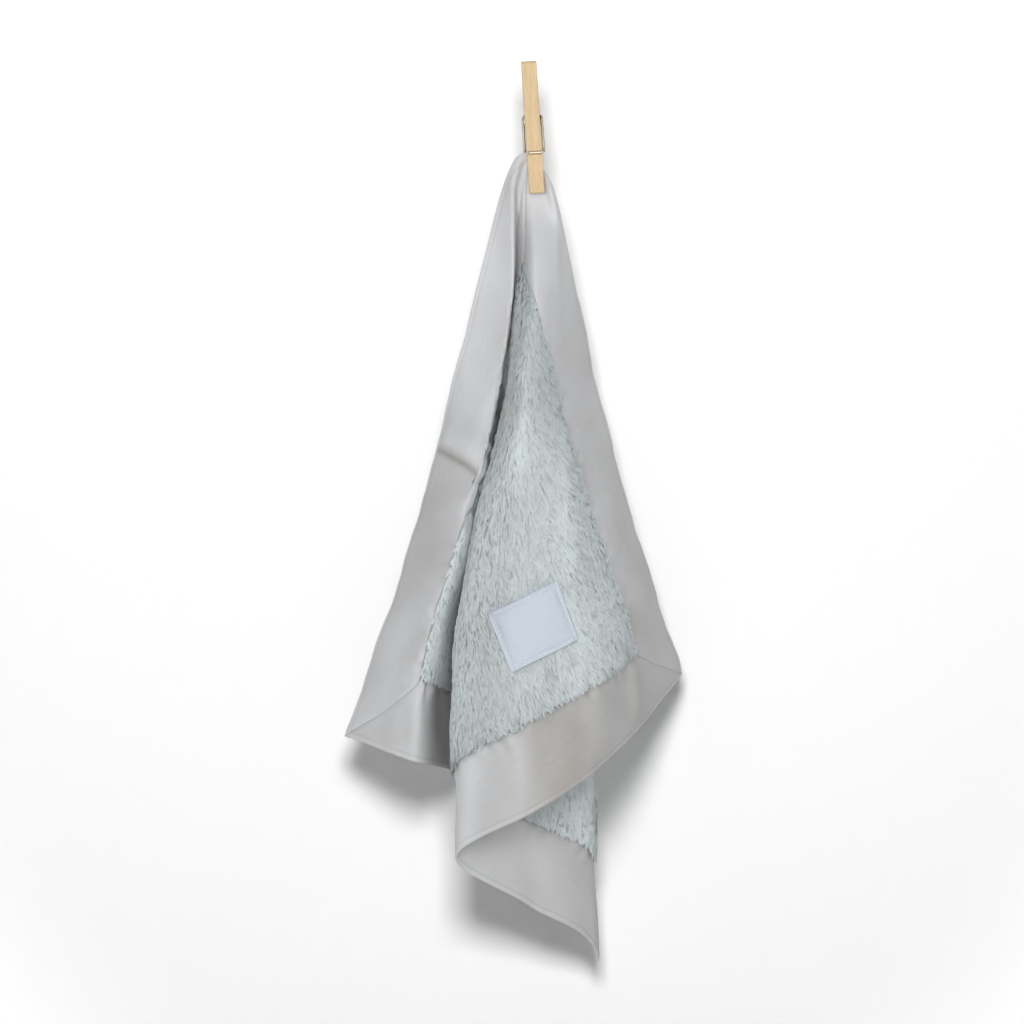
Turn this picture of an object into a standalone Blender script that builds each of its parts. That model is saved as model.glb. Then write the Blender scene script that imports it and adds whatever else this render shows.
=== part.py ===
"""A small square comfort blanket, hanging by one corner from a wooden clothes peg.

The blanket is two pile fabrics in a mitred satin binding, with a sewn label. It hangs in
pleats that run down from the held corner. Metres, +Z up, seen from -Y. The origin is the
centre of the round notch in which the peg's washing line would lie.
"""

import math

import bmesh
import bpy
import numpy as np

# Blanket
SIDE_LENGTH = 0.381
BINDING_WIDTH = 0.0508
BINDING_THICKNESS = 0.0012
HELD_THICKNESS = 0.0005
HELD_REACH = 0.060
PILE_HEIGHT = 0.0034
PILE_AT_SEAM = 0.0007
PILE_SETBACK = 0.009
CRUSHED_PILE_REACH = 0.085
FULL_PILE_REACH = 0.225
CORNER_ACROSS = -0.0028
CORNER_BELOW_NOTCH = 0.0067
CLOTH_GAP = 0.0004
SEAM_GAP = 0.0009
MITRE_GAP = 0.0003
WELD_SHARE = 0.01
NORMAL_STEP_SHARE = 0.0025

# Label, its centre measured along the left and the right edge from the held corner
LABEL_LENGTH = 0.0445
LABEL_HEIGHT = 0.041
LABEL_THICKNESS = 0.0006
LABEL_FROM_RIGHT_EDGE = 0.1176
LABEL_FROM_LEFT_EDGE = 0.279
LABEL_LIFT = 0.0006
THREAD_DIAMETER = 0.0007
STITCH_INSET = 0.0022
LABEL_CELLS = 6
STITCH_POINTS_PER_SIDE = 6

# Clothes peg
PEG_LENGTH = 0.082
PEG_WIDTH = 0.0095
PEG_TILT = math.radians(3.7)
LEG_THICKNESS = 0.0075
LEG_END_THICKNESS = 0.0036
LEG_EDGE_ROUND = 0.0004
JAW_LENGTH = 0.0335
JAW_RELIEF = 0.00035
JAW_TIP_THICKNESS = 0.0042
TIP_ROUND_SHARE = 0.333
JAW_TAPER = 0.014
CLOSING_PLANE = 0.00075
NOTCH_RADIUS = 0.0045
COIL_ABOVE_NOTCH = 0.0115
COIL_CLEARANCE = 0.0003
LEG_OPENING = math.radians(3.0)

# Spring
WIRE_DIAMETER = 0.0016
COIL_RADIUS = 0.0032
COIL_HALF_TURNS = 11
POINTS_PER_HALF_TURN = 5
ARM_CLEARANCE = 0.0003
GROOVE_BELOW_NOTCH = 0.0085
GROOVE_DEPTH = 0.0010
GROOVE_WIDTH = 0.0022
WIRE_END_INSET = 0.0011
WIRE_BEND = 0.0014

# How the blanket hangs. Each line runs down the cloth from the held corner, and its points
# are (reach, turn, across, depth): the reach from the corner, the turn from the diagonal
# in degrees, and how far to the right of the corner and behind it the cloth lies there.
# All but the turn are shares of SIDE_LENGTH. The number before a line's points is how much
# of its full length the line spans at its far end, where small waves take up the rest.
DRAPE_SHARES = (
    # Left edge
    (1.0, (
        (0.028, -45, -0.024, 0.003), (0.07, -45, -0.042, 0.008), (0.19, -45, -0.073, 0.021),
        (0.39, -45, -0.122, 0.039), (0.62, -45, -0.179, 0.052), (0.876, -45, -0.259, 0.052),
        (1.0, -45, -0.301, 0.052))),
    # Ridge beside the left edge
    (1.0, (
        (0.028, -27, -0.016, -0.002), (0.07, -27, -0.026, -0.007), (0.19, -27, -0.026, -0.016),
        (0.39, -31, -0.049, -0.021), (0.62, -32.5, -0.106, -0.057), (0.876, -36.2, -0.175, -0.051),
        (1.01, -37, -0.191, -0.036))),
    # Left valley
    (0.98, (
        (0.028, -21, -0.012, 0.001), (0.07, -21, -0.022, 0.001), (0.19, -21, -0.025, 0.003),
        (0.39, -22, -0.044, 0.042), (0.62, -20, -0.070, 0.072), (0.876, -23, -0.088, 0.131),
        (1.08, -24, -0.090, 0.183))),
    # Inner ridge
    (0.97, (
        (0.028, -17, -0.010, 0.002), (0.07, -17, -0.020, 0.006), (0.19, -17, -0.024, 0.016),
        (0.39, -17.5, -0.024, 0.038), (0.62, -16.5, -0.039, 0.052), (0.876, -17, -0.039, 0.059),
        (1.15, -15.5, -0.039, 0.016))),
    # Inner valley
    (0.955, (
        (0.028, -13, -0.008, 0.002), (0.07, -13, -0.016, 0.008), (0.19, -13, -0.023, 0.029),
        (0.39, -12.5, -0.004, 0.041), (0.62, -12, 0.002, 0.068), (0.876, -11, 0.018, 0.117),
        (1.27, -7.6, 0.034, 0.183))),
    # Fold behind the lower corner
    (0.94, (
        (0.028, -10, -0.006, 0.002), (0.07, -10, -0.014, 0.008), (0.19, -10, -0.021, 0.034),
        (0.39, -7, 0.021, 0.025), (0.62, -5.5, 0.064, 0.036), (0.876, -3, 0.096, 0.041),
        (1.10, 0, 0.100, 0.060), (1.414, 0, 0.113, 0.098))),
    # Middle, towards the lowest corner
    (0.968, (
        (0.028, -7, -0.004, 0.001), (0.07, -7, -0.011, 0.007), (0.19, -8, -0.020, 0.029),
        (0.39, -1, -0.007, 0.006), (0.62, 2, -0.015, 0.003), (0.876, 4.5, -0.015, -0.003),
        (1.27, 7, 0.002, 0.016))),
    # Left side of the front fold
    (0.985, (
        (0.028, -4, -0.003, 0.0), (0.07, -4, -0.009, 0.003), (0.19, -5, -0.016, 0.020),
        (0.39, 4, -0.030, -0.008), (0.62, 9, -0.085, -0.036), (0.876, 12, -0.116, -0.062),
        (1.17, 13.6, -0.117, -0.073))),
    # Front panel, left
    (0.988, (
        (0.028, 12, 0.002, 0.0), (0.07, 12, 0.008, 0.0), (0.19, 12, 0.011, -0.036),
        (0.39, 13, -0.010, -0.090), (0.62, 18, -0.018, -0.122), (0.876, 20, -0.028, -0.144),
        (1.10, 20.2, -0.007, -0.147))),
    # Front panel, right
    (0.972, (
        (0.028, 26, 0.009, 0.0), (0.07, 26, 0.024, 0.0), (0.19, 28, 0.044, -0.016),
        (0.39, 25, 0.039, -0.052), (0.62, 26, 0.054, -0.117), (0.876, 27, 0.077, -0.131),
        (1.055, 26.3, 0.096, -0.122))),
    # Ridge beside the right edge
    (0.94, (
        (0.028, 36, 0.014, 0.0), (0.07, 36, 0.034, -0.007), (0.19, 36, 0.055, 0.005),
        (0.39, 35, 0.073, 0.003), (0.62, 34, 0.106, -0.041), (0.876, 36.2, 0.170, -0.026),
        (1.017, 36, 0.181, -0.016))),
    # Right edge
    (0.888, (
        (0.028, 45, 0.017, -0.001), (0.07, 45, 0.039, -0.001), (0.19, 45, 0.066, 0.022),
        (0.39, 45, 0.106, 0.065), (0.62, 45, 0.157, 0.065), (0.876, 45, 0.220, 0.091),
        (1.0, 45, 0.250, 0.131))),
)

# Where the fabrics' facets fall: the turn about the pile square's near corner in degrees,
# and the level away from that corner as a share of the square's side
FABRIC_TURNS = (-45, -42.5, -38, -34, -30, -26.5, -23, -20, -17, -14, -11, -8, -5.5, -3, 0,
                3, 6, 9, 11.5, 14, 17, 20.5, 24, 28, 32, 36, 40, 43, 45)
LEVEL_SHARES = (0, 0.05, 0.12, 0.2, 0.29, 0.38, 0.47, 0.56, 0.65, 0.74, 0.83, 0.91, 0.97, 1)
BAND_SHARES = (0, 0.2, 0.4, 0.6, 0.8, 1)


def clear_scene():
    for obj in list(bpy.data.objects):
        bpy.data.objects.remove(obj, do_unlink=True)


def material(name, color, roughness, metallic=0.0):
    made = bpy.data.materials.new(name)
    made.use_nodes = True
    shader = made.node_tree.nodes["Principled BSDF"]
    shader.inputs["Base Color"].default_value = (*color, 1)
    shader.inputs["Roughness"].default_value = roughness
    shader.inputs["Metallic"].default_value = metallic
    made.diffuse_color = (*color, 1)
    return made


def new_object(name, mesh, look):
    obj = bpy.data.objects.new(name, mesh)
    bpy.context.scene.collection.objects.link(obj)
    mesh.materials.append(look)
    return obj


# The hanging cloth's middle surface

def smooth_through(knots, values, places):
    """A curve through the values at the rising knots that doesn't swing past them."""
    slopes = np.diff(values, axis=0) / np.diff(knots, axis=0)
    product = slopes[:-1] * slopes[1:]
    total = np.where(product > 0, slopes[:-1] + slopes[1:], 1)
    middle = np.where(product > 0, 2 * product / total, 0)
    tangents = np.concatenate([slopes[:1], middle, slopes[-1:]])
    inside = np.clip(places, knots[0], knots[-1])
    first = np.clip((inside >= knots).sum(axis=0) - 1, 0, len(knots) - 2)
    columns = np.arange(len(places))
    here, after = (first, columns), (first + 1, columns)
    gap = knots[after] - knots[here]
    share = (inside - knots[here]) / gap
    curve = (
        values[here] * (1 + 2 * share) * (1 - share) ** 2
        + tangents[here] * gap * share * (1 - share) ** 2
        + values[after] * share**2 * (3 - 2 * share)
        + tangents[after] * gap * share**2 * (share - 1)
    )
    past_ends = (places - inside) * np.where(places < inside, tangents[0], tangents[-1])
    return curve + past_ends


def drape_line(full_length_share, points, reaches):
    """One line's turn, across, depth and drop at each reach, in shares of SIDE_LENGTH and degrees."""
    table = np.array([(0, points[0][1], 0, 0), *points], float)
    count = len(reaches)
    knots = np.repeat(table[:, :1], count, axis=1)
    turn, across, depth = (
        smooth_through(knots, np.repeat(table[:, [column]], count, axis=1), reaches)
        for column in (1, 2, 3)
    )
    spans = 1 - (1 - full_length_share) * reaches / table[-1, 0]
    drop = spans * np.sqrt(np.maximum(reaches**2 - across**2 - depth**2, 0))
    return turn, across, depth, drop


def cloth_points(from_left_corner, from_right_corner):
    """Places of the middle surface's points, given by how far each lies along the blanket's
    left edge and along its right edge from the held corner."""
    along_left = np.asarray(from_left_corner, float).ravel() / SIDE_LENGTH
    along_right = np.asarray(from_right_corner, float).ravel() / SIDE_LENGTH
    reaches = np.hypot(along_left, along_right)
    turns = np.degrees(np.arctan2(along_right, along_left)) - 45
    turns = np.where(reaches > 0, turns, 0)
    lines = np.array([drape_line(*line, reaches) for line in DRAPE_SHARES])
    knots = lines[:, 0]
    across, depth, drop = (smooth_through(knots, lines[:, i], turns) for i in (1, 2, 3))
    return np.stack(
        [
            CORNER_ACROSS + across * SIDE_LENGTH,
            depth * SIDE_LENGTH,
            -CORNER_BELOW_NOTCH - drop * SIDE_LENGTH,
        ],
        axis=1,
    )


def cloth_normals(along_left, along_right):
    """The way that the blanket's front face looks at each point."""
    step = SIDE_LENGTH * NORMAL_STEP_SHARE
    left_way = cloth_points(along_left + step, along_right) - cloth_points(
        np.maximum(along_left - step, 0), along_right
    )
    right_way = cloth_points(along_left, along_right + step) - cloth_points(
        along_left, np.maximum(along_right - step, 0)
    )
    normals = np.cross(left_way, right_way)
    return normals / np.linalg.norm(normals, axis=1)[:, None]


def fabric_solid(name, flat, near, far, look, straight_seam=False):
    """A closed solid over a grid of flat points, from the near offset to the far offset
    along the front face's normal. With a straight seam, every other row of the last column
    lies midway between its neighbours, as the fabric sewn to it there has no row."""
    rows, columns = flat.shape[:2]
    along_left, along_right = flat[..., 0].ravel(), flat[..., 1].ravel()
    middle = cloth_points(along_left, along_right)
    normals = cloth_normals(along_left, along_right)
    mesh = bpy.data.meshes.new(name)
    shape = bmesh.new()
    layers = []
    for offset in (near, far):
        places = middle + normals * np.broadcast_to(offset, (rows, columns)).reshape(-1, 1)
        if straight_seam:
            seam = places.reshape(rows, columns, 3)[:, -1]
            seam[1:-1:2] = (seam[:-2:2] + seam[2::2]) / 2
        verts = [shape.verts.new(place) for place in places]
        layers.append([verts[row * columns:(row + 1) * columns] for row in range(rows)])
    for layer in layers:
        for row in range(rows - 1):
            for column in range(columns - 1):
                shape.faces.new(
                    (layer[row][column], layer[row + 1][column],
                     layer[row + 1][column + 1], layer[row][column + 1])
                )
    rim = (
        [(0, column) for column in range(columns - 1)]
        + [(row, columns - 1) for row in range(rows - 1)]
        + [(rows - 1, column) for column in range(columns - 1, 0, -1)]
        + [(row, 0) for row in range(rows - 1, 0, -1)]
    )
    for (row, column), (next_row, next_column) in zip(rim, rim[1:] + rim[:1]):
        shape.faces.new(
            (layers[0][row][column], layers[0][next_row][next_column],
             layers[1][next_row][next_column], layers[1][row][column])
        )
    bmesh.ops.remove_doubles(shape, verts=shape.verts, dist=SEAM_GAP * WELD_SHARE)
    bmesh.ops.recalc_face_normals(shape, faces=shape.faces)
    shape.to_mesh(mesh)
    shape.free()
    if signed_volume(mesh) < 0:
        mesh.flip_normals()
    mesh.shade_smooth()
    return new_object(name, mesh, look)


def signed_volume(mesh):
    mesh.calc_loop_triangles()
    total = 0
    for triangle in mesh.loop_triangles:
        a, b, c = (mesh.vertices[i].co for i in triangle.vertices)
        total += a.dot(b.cross(c))
    return total


def pile_fabrics(front_look, back_look):
    """The two pile fabrics, sewn back to back inside the binding."""
    start = BINDING_WIDTH + SEAM_GAP
    square = SIDE_LENGTH - 2 * start
    flat = np.zeros((len(LEVEL_SHARES), len(FABRIC_TURNS), 2))
    for row, level in enumerate(LEVEL_SHARES):
        for column, turn in enumerate(FABRIC_TURNS):
            side_share = math.tan(math.radians(45 - abs(turn)))
            long_way, short_way = level * square, level * square * side_share
            left, right = (long_way, short_way) if turn < 0 else (short_way, long_way)
            flat[row, column] = start + left, start + right
    inset = np.minimum(flat - start, start + square - flat).min(axis=2)
    reach = np.hypot(flat[..., 0], flat[..., 1])
    freed = (reach - CRUSHED_PILE_REACH) / (FULL_PILE_REACH - CRUSHED_PILE_REACH)
    rise = np.sqrt(np.clip(inset / PILE_SETBACK, 0, 1)) * np.clip(freed, 0, 1)
    height = PILE_AT_SEAM + (PILE_HEIGHT - PILE_AT_SEAM) * rise
    fabric_solid("plush_front", flat, CLOTH_GAP / 2, CLOTH_GAP / 2 + height, front_look)
    fabric_solid("plush_back", flat, -CLOTH_GAP / 2 - height, -CLOTH_GAP / 2, back_look)


def binding_strip(name, stations, corner_to_flat, look, straight_seam=False):
    """One edge's binding, with a mitre at each end. The stations run along the edge from 0
    to 1, and the last argument turns (along, inward) into distances along the two edges."""
    flat = np.zeros((len(stations), len(BAND_SHARES), 2))
    for row, station in enumerate(stations):
        for column, share in enumerate(BAND_SHARES):
            inward = share * BINDING_WIDTH
            start, end = inward + MITRE_GAP, SIDE_LENGTH - inward - MITRE_GAP
            flat[row, column] = corner_to_flat(start + station * (end - start), inward)
    reach = np.hypot(flat[..., 0], flat[..., 1])
    held = np.clip(1 - reach / HELD_REACH, 0, 1)
    half = (BINDING_THICKNESS + (HELD_THICKNESS - BINDING_THICKNESS) * held) / 2
    fabric_solid(name, flat, -half, half, look, straight_seam)


def with_middles(stations):
    middles = [(here + after) / 2 for here, after in zip(stations, stations[1:])]
    return sorted([*stations, *middles])


def bindings(look):
    near_stations = LEVEL_SHARES
    far_stations = with_middles(
        [math.tan(math.radians(45 + turn)) for turn in FABRIC_TURNS if turn <= 0]
    )
    binding_strip("binding_left", near_stations, lambda along, inward: (along, inward), look)
    binding_strip("binding_right", near_stations, lambda along, inward: (inward, along), look)
    binding_strip(
        "binding_lower_left", far_stations,
        lambda along, inward: (SIDE_LENGTH - inward, along), look, straight_seam=True,
    )
    binding_strip(
        "binding_lower_right", far_stations,
        lambda along, inward: (along, SIDE_LENGTH - inward), look, straight_seam=True,
    )


def label(look, thread_look):
    steps = np.linspace(-0.5, 0.5, LABEL_CELLS + 1)
    flat = np.array(
        [
            [
                (LABEL_FROM_RIGHT_EDGE + u * LABEL_LENGTH, LABEL_FROM_LEFT_EDGE + v * LABEL_HEIGHT)
                for v in steps
            ]
            for u in steps
        ]
    )
    under = CLOTH_GAP / 2 + PILE_HEIGHT + LABEL_LIFT
    fabric_solid("label", flat, under, under + LABEL_THICKNESS, look)

    half_length = LABEL_LENGTH / 2 - STITCH_INSET
    half_height = LABEL_HEIGHT / 2 - STITCH_INSET
    corners = [(-1, -1), (1, -1), (1, 1), (-1, 1)]
    route = []
    for (u, v), (next_u, next_v) in zip(corners, corners[1:] + corners[:1]):
        for share in np.arange(0, 1, 1 / STITCH_POINTS_PER_SIDE):
            route.append(
                (
                    LABEL_FROM_RIGHT_EDGE + (u + (next_u - u) * share) * half_length,
                    LABEL_FROM_LEFT_EDGE + (v + (next_v - v) * share) * half_height,
                )
            )
    route = np.array(route)
    lift = under + LABEL_THICKNESS + CLOTH_GAP + THREAD_DIAMETER / 2
    places = cloth_points(route[:, 0], route[:, 1]) + lift * cloth_normals(route[:, 0], route[:, 1])
    tube("label_stitching", places, THREAD_DIAMETER, thread_look, closed=True)


def tube(name, places, diameter, look, closed=False):
    curve = bpy.data.curves.new(name, "CURVE")
    curve.dimensions = "3D"
    curve.bevel_depth = diameter / 2
    curve.bevel_resolution = 1
    curve.use_fill_caps = not closed
    spline = curve.splines.new("POLY")
    spline.points.add(len(places) - 1)
    for point, place in zip(spline.points, places):
        point.co = (*place, 1)
    spline.use_cyclic_u = closed
    return new_object(name, curve, look)


# The clothes peg, in the peg's own upright frame

def arc(center, radius, start, end, steps):
    """Points (depth, height) of an arc, from the start angle to the end angle in degrees."""
    angles = np.radians(np.linspace(start, end, steps + 1))
    return [
        (center[0] + radius * math.cos(angle), center[1] + radius * math.sin(angle))
        for angle in angles
    ]


def leg_outline():
    """A leg's side view as (depth, height): depth 0 is where closed jaws meet."""
    top = PEG_LENGTH - JAW_LENGTH
    tip = -JAW_LENGTH
    seat_radius = COIL_RADIUS + WIRE_DIAMETER / 2 + COIL_CLEARANCE
    end_round = LEG_END_THICKNESS / 2
    tip_round = JAW_TIP_THICKNESS * TIP_ROUND_SHARE
    inner_at_end = LEG_THICKNESS - LEG_END_THICKNESS
    groove = -GROOVE_BELOW_NOTCH
    outline = arc((tip_round, tip + tip_round), tip_round, 270, 180, 3)
    outline += arc((JAW_RELIEF, 0), NOTCH_RADIUS - JAW_RELIEF, -88, 88, 10)
    outline += arc((JAW_RELIEF, COIL_ABOVE_NOTCH), seat_radius, -88, 88, 10)
    outline += arc((inner_at_end + end_round, top - end_round), end_round, 180, 0, 6)
    outline += [
        (LEG_THICKNESS, groove + GROOVE_WIDTH / 2),
        (LEG_THICKNESS - GROOVE_DEPTH, groove + GROOVE_WIDTH / 4),
        (LEG_THICKNESS - GROOVE_DEPTH, groove - GROOVE_WIDTH / 4),
        (LEG_THICKNESS, groove - GROOVE_WIDTH / 2),
        (LEG_THICKNESS, tip + JAW_TAPER),
    ]
    outline += arc((JAW_TIP_THICKNESS - tip_round, tip + tip_round), tip_round, 0, -90, 3)
    return outline


def leg_mesh(name, outward):
    """A leg about the coil's axis, its outer face on the side that outward gives."""
    mesh = bpy.data.meshes.new(name)
    shape = bmesh.new()
    ring = [
        shape.verts.new((-PEG_WIDTH / 2, outward * depth, height - COIL_ABOVE_NOTCH))
        for depth, height in leg_outline()
    ]
    cap = shape.faces.new(ring)
    grown = bmesh.ops.extrude_face_region(shape, geom=[cap])
    moved = [part for part in grown["geom"] if isinstance(part, bmesh.types.BMVert)]
    bmesh.ops.translate(shape, verts=moved, vec=(PEG_WIDTH, 0, 0))
    bmesh.ops.recalc_face_normals(shape, faces=shape.faces)
    shape.to_mesh(mesh)
    shape.free()
    mesh.shade_smooth()
    mesh.set_sharp_from_angle(angle=math.radians(30))
    return mesh


def peg_leg(name, outward, opened, coil_axis, look):
    leg = new_object(name, leg_mesh(name, outward), look)
    edges = leg.modifiers.new("Rounded edges", "BEVEL")
    edges.width = LEG_EDGE_ROUND
    edges.segments = 1
    edges.limit_method = "ANGLE"
    edges.angle_limit = math.radians(60)
    leg.parent = coil_axis
    leg.rotation_euler.x = -opened
    return leg


def turned_about_coil(place, opened):
    """A place (across, depth, height) about the coil's axis, swung with the front leg."""
    across, depth, height = place
    return (
        across,
        depth * math.cos(opened) + height * math.sin(opened),
        height * math.cos(opened) - depth * math.sin(opened),
    )


def spring_arm(side, outward, opened):
    """The wire from its end in a leg's groove to the coil, about the coil's axis."""
    beside = PEG_WIDTH / 2 + ARM_CLEARANCE + WIRE_DIAMETER / 2
    in_groove = outward * (LEG_THICKNESS - GROOVE_DEPTH + CLOTH_GAP + WIRE_DIAMETER / 2)
    groove = -GROOVE_BELOW_NOTCH - COIL_ABOVE_NOTCH
    far_end = PEG_WIDTH / 2 - WIRE_END_INSET
    route = [
        (-side * far_end, in_groove, groove),
        (0, in_groove, groove),
        (side * (beside - WIRE_BEND), in_groove, groove),
        (side * (beside - WIRE_BEND / 3), in_groove - outward * WIRE_BEND / 3, groove + WIRE_BEND / 6),
        (side * beside, in_groove - outward * WIRE_BEND, groove + WIRE_BEND),
    ]
    route = [turned_about_coil(place, opened) for place in route]
    last = route[-1]
    coil_side = (side * beside, outward * COIL_RADIUS, 0)
    for share in (0.35, 0.7):
        route.append(tuple(a + (b - a) * share for a, b in zip(last, coil_side)))
    return route


def spring(coil_axis, look):
    """One wire: front groove, right arm, coil, left arm, back groove."""
    front = spring_arm(1, -1, LEG_OPENING)
    back = spring_arm(-1, 1, 0)
    beside = PEG_WIDTH / 2 + ARM_CLEARANCE + WIRE_DIAMETER / 2
    steps = COIL_HALF_TURNS * POINTS_PER_HALF_TURN
    coil = []
    for step in range(steps + 1):
        angle = math.pi - math.pi * step / POINTS_PER_HALF_TURN
        across = beside - 2 * beside * step / steps
        coil.append((across, COIL_RADIUS * math.cos(angle), COIL_RADIUS * math.sin(angle)))
    places = front + coil + back[::-1]
    print_least_gap(places, WIRE_DIAMETER)
    wire = tube("peg_spring", places, WIRE_DIAMETER, look)
    wire.parent = coil_axis
    return wire


def print_least_gap(places, diameter):
    """The least clear distance between stretches of the wire that aren't neighbours."""
    dense = []
    for start, end in zip(places, places[1:]):
        for share in np.linspace(0, 1, 6, endpoint=False):
            dense.append(np.array(start) + (np.array(end) - np.array(start)) * share)
    dense = np.array(dense)
    lengths = np.concatenate([[0], np.cumsum(np.linalg.norm(np.diff(dense, axis=0), axis=1))])
    apart = np.linalg.norm(dense[:, None] - dense[None], axis=2)
    along = np.abs(lengths[:, None] - lengths[None])
    least = apart[along > 3 * diameter].min() - diameter
    print(f"Least gap of the spring's wire to itself: {least * 1000:.2f} mm")


def clothes_peg(wood, steel):
    coil_axis = bpy.data.objects.new("coil_axis", None)
    bpy.context.scene.collection.objects.link(coil_axis)
    coil_axis.rotation_euler.y = -PEG_TILT
    coil_axis.location = (
        -COIL_ABOVE_NOTCH * math.sin(PEG_TILT),
        CLOSING_PLANE,
        COIL_ABOVE_NOTCH * math.cos(PEG_TILT),
    )
    peg_leg("peg_back_leg", 1, 0, coil_axis, wood)
    peg_leg("peg_front_leg", -1, LEG_OPENING, coil_axis, wood)
    spring(coil_axis, steel)


def main():
    clear_scene()
    pile = material("pale grey-green pile", (0.56, 0.61, 0.58), 0.95)
    satin = material("silver-grey satin", (0.58, 0.59, 0.60), 0.35)
    woven = material("white woven label", (0.78, 0.81, 0.87), 0.6)
    thread = material("off-white thread", (0.70, 0.72, 0.76), 0.7)
    wood = material("pale birch", (0.76, 0.57, 0.33), 0.6)
    steel = material("bright steel wire", (0.60, 0.60, 0.60), 0.3, 1.0)
    pile_fabrics(pile, pile)
    bindings(satin)
    label(woven, thread)
    clothes_peg(wood, steel)


main()
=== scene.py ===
"""A small square comfort blanket with a satin binding, hanging by one corner from a peg.

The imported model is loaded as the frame. Each operator below models one piece, or one group
of like pieces, round it. Metres, +Z up, seen from -Y, origin in the peg's line notch.
"""

import math

import bpy
import numpy as np
from mathutils.bvhtree import BVHTree
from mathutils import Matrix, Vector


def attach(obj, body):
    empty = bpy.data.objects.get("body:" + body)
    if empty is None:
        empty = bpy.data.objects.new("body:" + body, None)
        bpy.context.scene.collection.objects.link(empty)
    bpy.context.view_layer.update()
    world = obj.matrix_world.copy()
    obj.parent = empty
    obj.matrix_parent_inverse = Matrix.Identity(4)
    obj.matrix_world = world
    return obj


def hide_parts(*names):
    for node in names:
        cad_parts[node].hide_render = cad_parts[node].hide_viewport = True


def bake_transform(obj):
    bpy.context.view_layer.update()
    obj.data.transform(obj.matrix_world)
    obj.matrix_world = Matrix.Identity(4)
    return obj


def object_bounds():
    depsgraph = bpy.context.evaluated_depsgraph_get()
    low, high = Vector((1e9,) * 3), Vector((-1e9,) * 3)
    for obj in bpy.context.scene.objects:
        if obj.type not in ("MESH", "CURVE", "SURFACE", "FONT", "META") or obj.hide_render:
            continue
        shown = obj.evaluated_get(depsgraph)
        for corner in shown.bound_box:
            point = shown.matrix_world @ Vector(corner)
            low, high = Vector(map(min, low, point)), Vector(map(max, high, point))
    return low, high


bl_info = {
    "name": "Comfort blanket on a peg",
    "version": (1, 0, 0),
    "blender": (4, 5, 0),
    "location": "3D View > Sidebar > Blanket",
    "description": "Models a pile comfort blanket with a satin binding, and its wooden peg",
    "category": "Object",
}

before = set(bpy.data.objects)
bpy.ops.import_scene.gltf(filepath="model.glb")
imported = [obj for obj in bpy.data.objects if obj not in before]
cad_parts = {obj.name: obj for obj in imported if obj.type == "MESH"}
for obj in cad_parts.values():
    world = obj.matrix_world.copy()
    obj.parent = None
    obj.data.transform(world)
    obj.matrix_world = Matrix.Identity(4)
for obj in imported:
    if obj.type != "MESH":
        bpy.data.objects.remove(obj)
cad_corners = [list(corner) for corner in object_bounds()]

# The blanket, flat. A flat place is how far it lies along the left edge and along the right
# edge from the held corner, and inward is how far it lies from the nearest edge.
SIDE_LENGTH = 0.381
BINDING_WIDTH = 0.0508
PILE_SIDE = SIDE_LENGTH - 2 * BINDING_WIDTH
CLOTH_GAP = 0.0004
SEAM_LAP = 0.0012
# Where the painted highlight lies at the satin's folded edge, and the painted shade of its pressed
# line
PAINTED_RIM_HIGHLIGHT = (0.0020, 0.0030)
PAINTED_LINE_SHADE = 0.0036
HEM_FOLD = 0.0016
TUCK_DOWN = 0.194
TUCK_SLOPE = 0.13
LABEL_LENGTH = 0.0445
LABEL_HEIGHT = 0.041
LABEL_FROM_RIGHT_EDGE = 0.1176
LABEL_FROM_LEFT_EDGE = 0.279
LABEL_ABOVE_CLOTH = 0.0038
STITCH_INSET = 0.0022

# The blanket, hung. The cloth is taut and its pile pressed near the held corner, and goes
# slack and full between these distances from it.
CORNER_ACROSS = -0.0028
CORNER_BELOW_NOTCH = 0.0067
SLACK_REACH = (0.055, 0.15)
FULL_REACH = (0.075, 0.16)

# The peg and its spring
PEG_WIDTH = 0.0095
PEG_TILT = math.radians(3.7)
LEG_THICKNESS = 0.0075
CLOSING_PLANE = 0.00075
COIL_ABOVE_NOTCH = 0.0115
LEG_OPENING = math.radians(3.0)
WIRE_DIAMETER = 0.0016
COIL_RADIUS = 0.0032
COIL_HALF_TURNS = 11
ARM_CLEARANCE = 0.0003
GROOVE_BELOW_NOTCH = 0.0085
GROOVE_DEPTH = 0.0010
WIRE_END_INSET = 0.0011
WIRE_BEND = 0.0014
ARM_BESIDE = PEG_WIDTH / 2 + ARM_CLEARANCE + WIRE_DIAMETER / 2

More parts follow.
